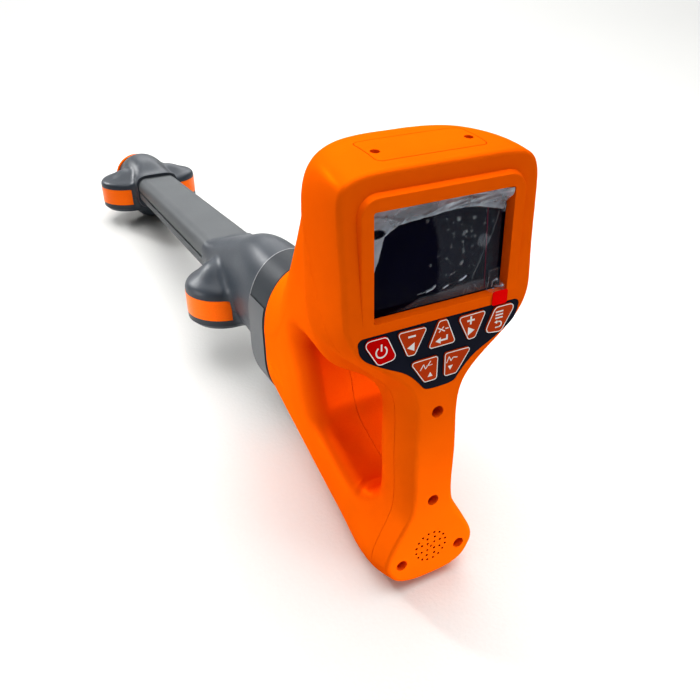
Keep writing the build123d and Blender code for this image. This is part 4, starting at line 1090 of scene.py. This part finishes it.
@dataclass
class ScreenFilm:
    """Clear protective film on the pane, standing off and creased, with a strip under the pull tab;
    its haze is partly painted reflection.
    """

    workshop: Workshop
    finishes: Finishes
    half_width: float = 37.0
    half_height: float = 26.1
    columns: int = 200
    rows: int = 142
    pane: float = 6.4
    sheet: float = 0.06
    tab_left: float = 28.8
    tab_right: float = 36.8
    tab_level: float = -32.4
    strip_clearance: float = 0.4
    strip_gap: float = 0.1
    strip_wave: float = 0.18
    strip_flat_wave: float = 0.05
    strip_haze: float = 0.03
    strip_glint: float = 0.35
    strip_glint_start: float = 0.1
    # Painted reflection: the thin dark purple line down the right part of the film.
    seam: Line = ((27.0, 19.2), (27.6, 0.0), (28.2, -16.4), (28.6, -25.2))
    reflection_line_width: float = 0.3
    reflection_line_height: float = 0.03
    reflection_line_lift: float = 0.1
    small_bubbles: int = 26
    band_fine_haze: float = 0.12
    band_wave: float = 0.25
    bright_start: float = 16.0
    bright_blend: float = 10.0
    bright_haze: float = 0.05
    wedge_top: float = 17.0
    wedge_blend: float = 3.0
    clear_edge: Point = (35.4, 15.5)
    clear_edge_blend: Point = (0.9, 1.5)
    clear_spot: Point = (-33.2, 14.5)
    clear_spot_reach: Point = (4.2, 2.0)
    clear_spot_rim: float = 1.15
    clear_spot_blend: float = 0.3
    clear_spot_share: float = 0.985
    patch_low: Point = (31.0, -25.4)
    patch_high: Point = (37.0, -16.4)
    patch_haze: float = 0.085
    torn_start: float = 53.0
    torn_blend: float = 8.5
    curl_start: Point = (33.4, -20.6)
    curl_blend: Point = (3.2, 4.0)
    glint_start: float = 0.05
    glint_blend: float = 0.3

    def marks(self) -> list[Bubble | Fold]:
        """Bubbles and creases, with small bubbles strewn over the right half."""
        dice = random.Random(11)
        strewn = [Bubble(dice.uniform(3.0, 27.0), dice.uniform(-15.0, 15.0),
                         dice.uniform(0.35, 0.6), 0.15, 0.2) for _ in range(self.small_bubbles)]
        return [*LARGE_BUBBLES, *strewn, *FOLDS]

    def seen_share(self, x: float, z: float) -> float:
        """Share of the haze that is left by the clear right edge and the clear spot on the left.

        Args:
            x: Place to the right of the screen's middle.
            z: Place above it.

        Returns:
            The share, 1 away from both.
        """
        (edge_x, edge_z), (blend_x, blend_z) = self.clear_edge, self.clear_edge_blend
        edge = smooth((x - edge_x) / blend_x) * smooth((edge_z - z) / blend_z)
        (spot_x, spot_z), (reach_x, reach_z) = self.clear_spot, self.clear_spot_reach
        away = math.hypot((x - spot_x) / reach_x, (z - spot_z) / reach_z)
        spot = smooth((self.clear_spot_rim - away) / self.clear_spot_blend)
        return (1.0 - edge) * (1.0 - self.clear_spot_share * spot)

    def broad_lift(self, x: float, z: float, fine: float) -> tuple[float, float]:
        """Stand-off and haze of the broad areas that have come off the pane.

        Args:
            x: Place to the right of the screen's middle.
            z: Place above it.
            fine: Fine noise at the place.

        Returns:
            The stand-off in millimetres and the haze.
        """
        ripple = BROAD_RIPPLE.at(x, z)
        top = TOP_BAND.share(x, z, fine)
        left = LEFT_WEDGE.share(x, z, fine) * smooth((self.wedge_top - z) / self.wedge_blend)
        bright = self.bright_haze * smooth((x - self.bright_start) / self.bright_blend)
        band_haze = (TOP_BAND.haze + TOP_BAND.ripple_haze * ripple + self.band_fine_haze * fine
                     + bright)
        wedge_haze = LEFT_WEDGE.haze + LEFT_WEDGE.ripple_haze * ripple
        flat_haze = sum(area.haze * area.share(x, z, fine) for area in (RIGHT_VEIL, LOW_REFLECTION))
        haze = max(flat_haze, top * band_haze, left * wedge_haze) * self.seen_share(x, z)
        (low_x, low_z), (high_x, high_z) = self.patch_low, self.patch_high
        if low_x < x < high_x and low_z < z < high_z:
            haze = max(haze, self.patch_haze)
        stand = TOP_BAND.rise * top + LEFT_WEDGE.rise * left + self.band_wave * top * ripple
        return stand, haze

    def corner_lift(self, x: float, z: float, fine: float) -> tuple[float, float]:
        """Stand-off and haze of the two corners that stand up on the right.

        Args:
            x: Place to the right of the screen's middle.
            z: Place above it.
            fine: Fine noise at the place.

        Returns:
            The stand-off in millimetres and the haze.
        """
        torn = smooth((x + z - self.torn_start) / self.torn_blend)
        (curl_x, curl_z), (blend_x, blend_z) = self.curl_start, self.curl_blend
        curled = smooth((x - curl_x) / blend_x) * smooth((curl_z - z) / blend_z)
        glint = smooth((GLINTS.at(x, z) - self.glint_start) / self.glint_blend)
        upper = TORN_CORNER.lift(torn, fine, glint)
        lower = CURLED_CORNER.lift(curled, fine, glint)
        return max(upper[0], lower[0]), max(upper[1], lower[1])

    def lift(self, x: float, z: float, marks: list[Bubble | Fold]) -> tuple[float, float]:
        """How far the film stands off the pane at a place, and how hazy it is there, the haze being
        partly painted reflection.

        Args:
            x: Place to the right of the screen's middle.
            z: Place above it.
            marks: The film's bubbles and creases.

        Returns:
            The stand-off in millimetres and the haze from 0 to 1.
        """
        fine = FINE_RIPPLE.at(x, z)
        stand, haze = self.broad_lift(x, z, fine)
        for mark in marks:
            rise, mist = mark.lift(x, z)
            stand, haze = stand + rise, max(haze, mist)
        rise, mist = self.corner_lift(x, z, fine)
        return max(0.0, stand, rise), min(1.0, max(haze, mist))

    def sheet_shape(self) -> Shape:
        """The film over the pane.

        Returns:
            The film's shape with its haze, partly painted reflection, on each vertex, shared
            between its two faces.
        """
        marks = self.marks()
        shape = bmesh.new()
        haze_and_reflection = shape.verts.layers.float.new("haze_and_reflection")
        size = Matrix.Diagonal((self.half_width, self.half_height, 1.0, 1.0))
        bmesh.ops.create_grid(shape, x_segments=self.columns, y_segments=self.rows, size=1.0,
                              matrix=size)
        for vertex in shape.verts:
            x, z = vertex.co.x, vertex.co.y
            stand, haze = self.lift(x, z, marks)
            vertex[haze_and_reflection] = 1.0 - math.sqrt(1.0 - haze)
            vertex.co = Vector((x, self.pane - stand, z))
        shape.normal_update()
        bmesh.ops.solidify(shape, geom=shape.faces[:], thickness=self.sheet)
        return shape

    def strip_shape(self) -> Shape:
        """The strip that climbs out of the recess and lies under the pull tab.

        Returns:
            The strip's shape with its haze and painted glints on each vertex.
        """
        shape = bmesh.new()
        haze_and_reflection = shape.verts.layers.float.new("haze_and_reflection")
        bmesh.ops.create_grid(shape, x_segments=24, y_segments=48, size=1.0)
        climb = self.pane + self.strip_clearance
        foot = -self.half_height + self.strip_gap
        run = climb + abs(self.tab_level + self.half_height)
        for vertex in shape.verts:
            along = mixed(0.0, run, (vertex.co.y + 1.0) / 2.0)
            x = mixed(self.tab_left, self.tab_right, (vertex.co.x + 1.0) / 2.0)
            wave = STRIP_RIPPLE.at(x, along)
            if along < climb:
                vertex.co = (x, self.pane - along, foot + self.strip_wave * abs(wave))
            else:
                lift = climb + self.strip_flat_wave * abs(wave)
                vertex.co = (x, self.pane - lift, foot - (along - climb))
            glint = smooth((wave - self.strip_glint_start) / self.glint_blend)
            vertex[haze_and_reflection] = self.strip_haze + self.strip_glint * glint
        shape.normal_update()
        bmesh.ops.solidify(shape, geom=shape.faces[:], thickness=self.sheet)
        return shape

    def reflection_line_shape(self) -> Shape:
        """The thin dark purple line that runs down the film: a painted reflection."""
        shape = bmesh.new()
        for first, last in zip(self.seam, self.seam[1:]):
            Bar(first, last, self.reflection_line_width).draw(shape)
        return raised(shape, self.reflection_line_height, self.pane - self.reflection_line_lift)

    def build(self, nodes: Nodes) -> None:
        """Lays the film on and dresses the pane behind it.

        Args:
            nodes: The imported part's nodes.
        """
        shop, finishes = self.workshop, self.finishes
        shop.dress(nodes["display_window"], finishes.pane)
        shop.dress(nodes["display_module"], finishes.display)
        shop.dress(nodes["window_gasket"], finishes.seal)
        shop.dress(nodes["main_board"], finishes.board)
        shop.dress(nodes["pull_tab"], finishes.tab)
        film = shop.piece("film_sheet", self.sheet_shape(), finishes.film, slot="film", sharp=2.0)
        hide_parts("protective_film")
        shop.piece("film_strip", self.strip_shape(), finishes.film, slot="film", sharp=2.0)
        shop.piece("film_reflection_line", self.reflection_line_shape(), finishes.seam, slot="film")


@dataclass
class Screw:
    """Small pan-head screw with a cross recess."""

    workshop: Workshop
    finish: Material
    radius: float = 2.4
    height: float = 1.6
    rounding: float = 0.5
    slot_width: float = 0.75
    slot_reach: float = 1.5
    slot_depth: float = 0.8

    def in_cross(self, face: bmesh.types.BMFace) -> bool:
        """Whether a face of the head's top lies in the cross."""
        middle = face.calc_center_median()
        return (face.normal.z > 0.99 and min(abs(middle.x), abs(middle.y)) < self.slot_width / 2
                and middle.xy.length < self.slot_reach)

    def shape(self, place: Matrix) -> Shape:
        """The head, with its top towards the local +Z axis.

        Args:
            place: Place of the head's seat in the upright frame.

        Returns:
            The head's shape.
        """
        shape = bmesh.new()
        bmesh.ops.create_cone(shape, cap_ends=True, segments=32, radius1=self.radius,
                              radius2=self.radius, depth=self.height,
                              matrix=Matrix.Translation((0.0, 0.0, self.height / 2)))
        rim = [edge for edge in shape.edges
               if all(vertex.co.z > self.height - 1e-4 for vertex in edge.verts)]
        bmesh.ops.bevel(shape, geom=rim, offset=self.rounding, offset_type="OFFSET", segments=4,
                        profile=0.5, affect="EDGES", material=-1)
        half = self.slot_width / 2
        for normal in (Vector((1, 0, 0)), Vector((0, 1, 0))):
            for level in (-self.slot_reach, -half, half, self.slot_reach):
                bmesh.ops.bisect_plane(shape, geom=everything(shape), plane_co=normal * level,
                                       plane_no=normal, dist=1e-5)
        cross = [face for face in shape.faces if self.in_cross(face)]
        sunk = bmesh.ops.extrude_face_region(shape, geom=cross)
        bmesh.ops.delete(shape, geom=cross, context="FACES")
        lowered = [item for item in sunk["geom"] if isinstance(item, bmesh.types.BMVert)]
        bmesh.ops.translate(shape, verts=lowered, vec=(0.0, 0.0, -self.slot_depth))
        bmesh.ops.transform(shape, matrix=place, verts=shape.verts)
        return shape

    def build(self, name: str, place: Matrix) -> None:
        """Adds a screw.

        Args:
            name: The piece's name.
            place: Place of its head's seat.
        """
        self.workshop.piece(name, self.shape(place), self.finish)


@dataclass
class Handle:
    """Orange looped handle with its covers, screws and speaker."""

    workshop: Workshop
    finishes: Finishes
    seat_depth: float = 9.0
    front_screws: Line = ((0.0, -86.2), (0.0, -145.2), (-19.4, -185.9), (19.4, -185.9))
    front_turn: float = 0.4
    front_turn_step: float = 0.7
    cover_screw_offset: float = 24.9
    cover_screw_depth: float = 21.8
    cover_seat: float = 40.6
    cover_turn: float = 0.3
    cover_turn_step: float = 0.5

    def dress(self, nodes: Nodes) -> None:
        """Dresses the shells, the seals and what is inside.

        Args:
            nodes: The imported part's nodes.
        """
        shop, finishes = self.workshop, self.finishes
        shop.dress(nodes["front_cover"], finishes.orange)
        shop.dress(nodes["service_cover"], finishes.cover)
        for name in ("rear_housing_left", "rear_housing_right"):
            shop.dress(nodes[name], finishes.loop)
        for name in ("service_cover_gasket", "speaker_gasket"):
            shop.dress(nodes[name], finishes.seal)
        shop.dress(nodes["speaker"], finishes.driver)
        shop.dress(nodes["battery_pack"], finishes.battery)

    def build(self, nodes: Nodes) -> None:
        """Dresses the handle and drives the screws in.

        Args:
            nodes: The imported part's nodes.
        """
        self.dress(nodes)
        screw = Screw(self.workshop, self.finishes.screw)
        facing = Matrix.Rotation(math.pi / 2, 4, "X")
        for index, (x, z) in enumerate(self.front_screws):
            turn = Matrix.Rotation(self.front_turn + self.front_turn_step * index, 4, "Z")
            place = Matrix.Translation((x, self.seat_depth, z)) @ facing @ turn
            screw.build(f"front_screw_{index}", place)
        small = Screw(self.workshop, self.finishes.warm_screw, radius=2.0, height=1.4,
                      slot_width=0.6, slot_reach=1.2)
        for side in Side:
            spot = (side.value * self.cover_screw_offset, self.cover_screw_depth, self.cover_seat)
            turn = Matrix.Rotation(self.cover_turn + side.value * self.cover_turn_step, 4, "Z")
            small.build(f"cover_screw_{side.name.lower()}", Matrix.Translation(spot) @ turn)


@dataclass
class Neck:
    """Collar with its bare label, and the stick."""

    workshop: Workshop
    finishes: Finishes
    label_front: float = 161.0
    label_back: float = 187.0
    label_top: float = -89.0
    label_bottom: float = -151.0
    label_thickness: float = 0.3
    edge_height: float = 0.16
    plate_height: float = 0.22
    plate_margin: float = 0.45
    outside: float = 80.0
    rim_start: float = 187.5
    rim_end: float = 188.1
    rim_thickness: float = 0.12
    axis_level: float = -115.0

    def outward(self, place: Vector) -> Vector:
        """Direction from the collar's axis to a place on it."""
        return Vector((place.x, 0.0, place.z - self.axis_level))

    def rim_highlight_shape(self, collar: bpy.types.Object) -> Shape:
        """Light grey band round the far end of the collar: a painted highlight where its edge
        catches the light.

        Args:
            collar: The collar's node.

        Returns:
            The band's shape.
        """
        shape = bmesh.new()
        shape.from_mesh(collar.data)
        bmesh.ops.remove_doubles(shape, verts=shape.verts, dist=1e-6)
        back = self.workshop.rest.matrix().inverted()
        bmesh.ops.transform(shape, matrix=back, verts=shape.verts)
        for level, way in ((self.rim_start, -1), (self.rim_end, 1)):
            bmesh.ops.bisect_plane(shape, geom=everything(shape), plane_co=(0.0, level, 0.0),
                                   plane_no=Vector((0, way, 0)), clear_outer=True)
        shape.normal_update()
        inner = [face for face in shape.faces
                 if face.normal.dot(self.outward(face.calc_center_median())) < 0.0]
        bmesh.ops.delete(shape, geom=inner, context="FACES")
        bmesh.ops.solidify(shape, geom=shape.faces[:], thickness=-self.rim_thickness)
        return shape

    def label_shape(self, collar: bpy.types.Object, side: Side, margin: float,
                    height: float) -> Shape:
        """A bare plate that follows the collar's flank.

        Args:
            collar: The collar's node.
            side: Which flank.
            margin: How far the plate is drawn in from the label's edges.
            height: Its height over the collar.

        Returns:
            The plate's shape.
        """
        mesh = collar.data
        tree = BVHTree.FromPolygons([vertex.co for vertex in mesh.vertices],
                                    [face.vertices for face in mesh.polygons])
        back = self.workshop.rest.matrix().inverted()
        inward = Vector((-side.value, 0.0, 0.0))
        shape = bmesh.new()
        bmesh.ops.create_grid(shape, x_segments=6, y_segments=28, size=1.0)
        for vertex in shape.verts:
            along, up = (vertex.co.x + 1.0) / 2.0, (vertex.co.y + 1.0) / 2.0
            y = mixed(self.label_front + margin, self.label_back - margin, along)
            z = mixed(self.label_bottom + margin, self.label_top - margin, up)
            start = self.workshop.rest.point(side.value * self.outside, y, z)
            hit = tree.ray_cast(start, inward)[0]
            vertex.co = back @ hit - inward * height
        shape.normal_update()
        bmesh.ops.solidify(shape, geom=shape.faces[:], thickness=-self.label_thickness * side.value)
        return shape

    def build(self, nodes: Nodes) -> None:
        """Dresses the collar and the stick and lays the label on.

        Args:
            nodes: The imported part's nodes.
        """
        shop, finishes, collar = self.workshop, self.finishes, nodes["collar"]
        shop.dress(collar, finishes.collar)
        shop.dress(nodes["stick"], finishes.grey)
        edge = self.label_shape(collar, Side.LEFT, 0.0, self.edge_height)
        plate = self.label_shape(collar, Side.LEFT, self.plate_margin, self.plate_height)
        # The light grey band round the collar's far end is a painted highlight.
        shop.piece("collar_rim_highlight", self.rim_highlight_shape(collar), finishes.edge)
        shop.piece("label_edge", edge, finishes.seal)
        shop.piece("bare_label", plate, finishes.label)


@dataclass
class AntennaNodes:
    """The two winged nodes with their strips, coils and the orange tip."""

    workshop: Workshop
    finishes: Finishes

    def build(self, nodes: Nodes) -> None:
        """Dresses the nodes.

        Args:
            nodes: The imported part's nodes.
        """
        shop, finishes = self.workshop, self.finishes
        for end in ("upper", "lower"):
            for half in ("top", "bottom"):
                shop.dress(nodes[f"{end}_node_{half}"], finishes.dark)
            for coil in ("cross", "upright"):
                shop.dress(nodes[f"{end}_coil_{coil}"], finishes.winding)
            for side in Side:
                shop.dress(nodes[f"{end}_strip_{side.name.lower()}"], finishes.strip)
        shop.dress(nodes["tip_cap"], finishes.orange)


@dataclass(frozen=True)
class Panel:
    """Soft light that shines towards a point; its spread is in degrees."""

    name: str
    size: tuple[float, float]
    place: Spot
    aim: Spot
    power: float
    spread: float = 180.0

    def hang(self) -> None:
        """Adds the light."""
        lamp = bpy.data.lights.new(self.name, "AREA")
        lamp.shape = "RECTANGLE"
        lamp.size, lamp.size_y = self.size
        lamp.energy = self.power
        lamp.spread = math.radians(self.spread)
        item = bpy.data.objects.new(self.name, lamp)
        item.location = self.place
        ahead = Vector(self.aim) - Vector(self.place)
        item.rotation_euler = ahead.to_track_quat("-Z", "Y").to_euler()
        bpy.context.scene.collection.objects.link(item)
        LOG.info("panel %s: %.2f W", self.name, self.power)


PANELS = (
    Panel("near_panel", (2.2, 2.8), (0.25, 0.2, 1.7), (0.25, 0.2, 0.0), 57.0),
    Panel("far_panel", (5.0, 4.0), (2.4, 5.6, 2.4), (2.4, 5.6, 0.0), 290.0),
    Panel("low_fill", (0.2, 0.1), (0.3, -0.75, 0.06), (0.0, -0.33, -0.01), 0.12, 32.0),
    Panel("back_fill", (0.4, 0.4), (-1.0, 2.0, 1.2), (-0.05, 0.05, 0.12), 2.3, 50.0),
    Panel("side_fill", (0.3, 0.2), (-0.9, -0.05, 0.12), (0.0, -0.18, -0.06), 0.07, 30.0),
    Panel("arm_fill", (0.2, 0.2), (-0.9, 0.1, 0.3), (-0.03, -0.13, 0.08), 0.07, 16.0),
)


@dataclass
class Studio:
    """Pale floor, soft light and a camera at the photograph's viewing angle."""

    rest: RestFrame
    sensor: float = 36.0
    focal_pixels: float = 740.0
    picture_pixels: float = 700.0
    turn: float = 0.47497
    pitch: float = 0.51658
    roll: float = 0.018238
    stand: Spot = (-183.4786, -259.4672, 130.0361)
    floor_reach: float = 9.0
    sky: float = 0.16
    backdrop: float = 0.85
    sky_colour: Colour = (1.0, 1.0, 0.99)

    def camera(self) -> None:
        """Places the camera."""
        level = math.cos(self.pitch)
        ahead = Vector((math.sin(self.turn) * level, math.cos(self.turn) * level,
                        -math.sin(self.pitch)))
        right = Vector((math.cos(self.turn), -math.sin(self.turn), 0.0))
        right = Matrix.Rotation(self.roll, 3, ahead) @ right
        up = right.cross(ahead)
        turned = Matrix((right, up, -ahead)).transposed().to_4x4()
        lens = bpy.data.cameras.new("photo_camera")
        lens.sensor_width = self.sensor
        lens.lens = self.sensor * self.focal_pixels / self.picture_pixels
        lens.clip_start, lens.clip_end = 0.01, 50.0
        eye = bpy.data.objects.new("photo_camera", lens)
        bpy.context.scene.collection.objects.link(eye)
        place = Matrix.Translation(self.rest.point(*self.stand))
        eye.matrix_world = place @ self.rest.turn() @ turned
        bpy.context.scene.camera = eye

    def floor(self) -> None:
        """Lays the floor."""
        shape = bmesh.new()
        bmesh.ops.create_grid(shape, x_segments=4, y_segments=4, size=self.floor_reach)
        mesh = bpy.data.meshes.new("floor")
        shape.to_mesh(mesh)
        shape.free()
        mesh.materials.append(PaleFloor().make())
        item = bpy.data.objects.new("floor", mesh)
        bpy.context.scene.collection.objects.link(item)

    def room(self) -> None:
        """Puts a pale room round the floor, which looks paler than it shines."""
        world = bpy.data.worlds.new("pale_room")
        world.use_nodes = True
        nodes, links = world.node_tree.nodes, world.node_tree.links
        ground = nodes["Background"]
        ground.inputs["Color"].default_value = (*self.sky_colour, 1.0)
        seen = nodes.new("ShaderNodeLightPath")
        strength = nodes.new("ShaderNodeMapRange")
        strength.inputs["To Min"].default_value = self.sky
        strength.inputs["To Max"].default_value = self.backdrop
        links.new(seen.outputs["Is Camera Ray"], strength.inputs["Value"])
        links.new(strength.outputs["Result"], ground.inputs["Strength"])
        bpy.context.scene.world = world

    def build(self) -> None:
        """Sets the studio up."""
        self.floor()
        for panel in PANELS:
            panel.hang()
        self.room()
        self.camera()
        bpy.context.scene.view_settings.view_transform = "Standard"
        bpy.context.scene.view_settings.look = "Medium High Contrast"


def main() -> None:
    """Builds the locator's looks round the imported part."""
    logging.basicConfig(level=logging.INFO, format="%(name)s: %(message)s")
    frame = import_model()
    rest = RestFrame.read(frame)
    finishes = Finishes()
    workshop = Workshop(rest)
    nodes = frame["nodes"]
    for assembly in (Handle, Keypad, ScreenFilm, Neck, AntennaNodes):
        assembly(workshop, finishes).build(nodes)
    Studio(rest).build()


if __name__ == "__main__":
    main()
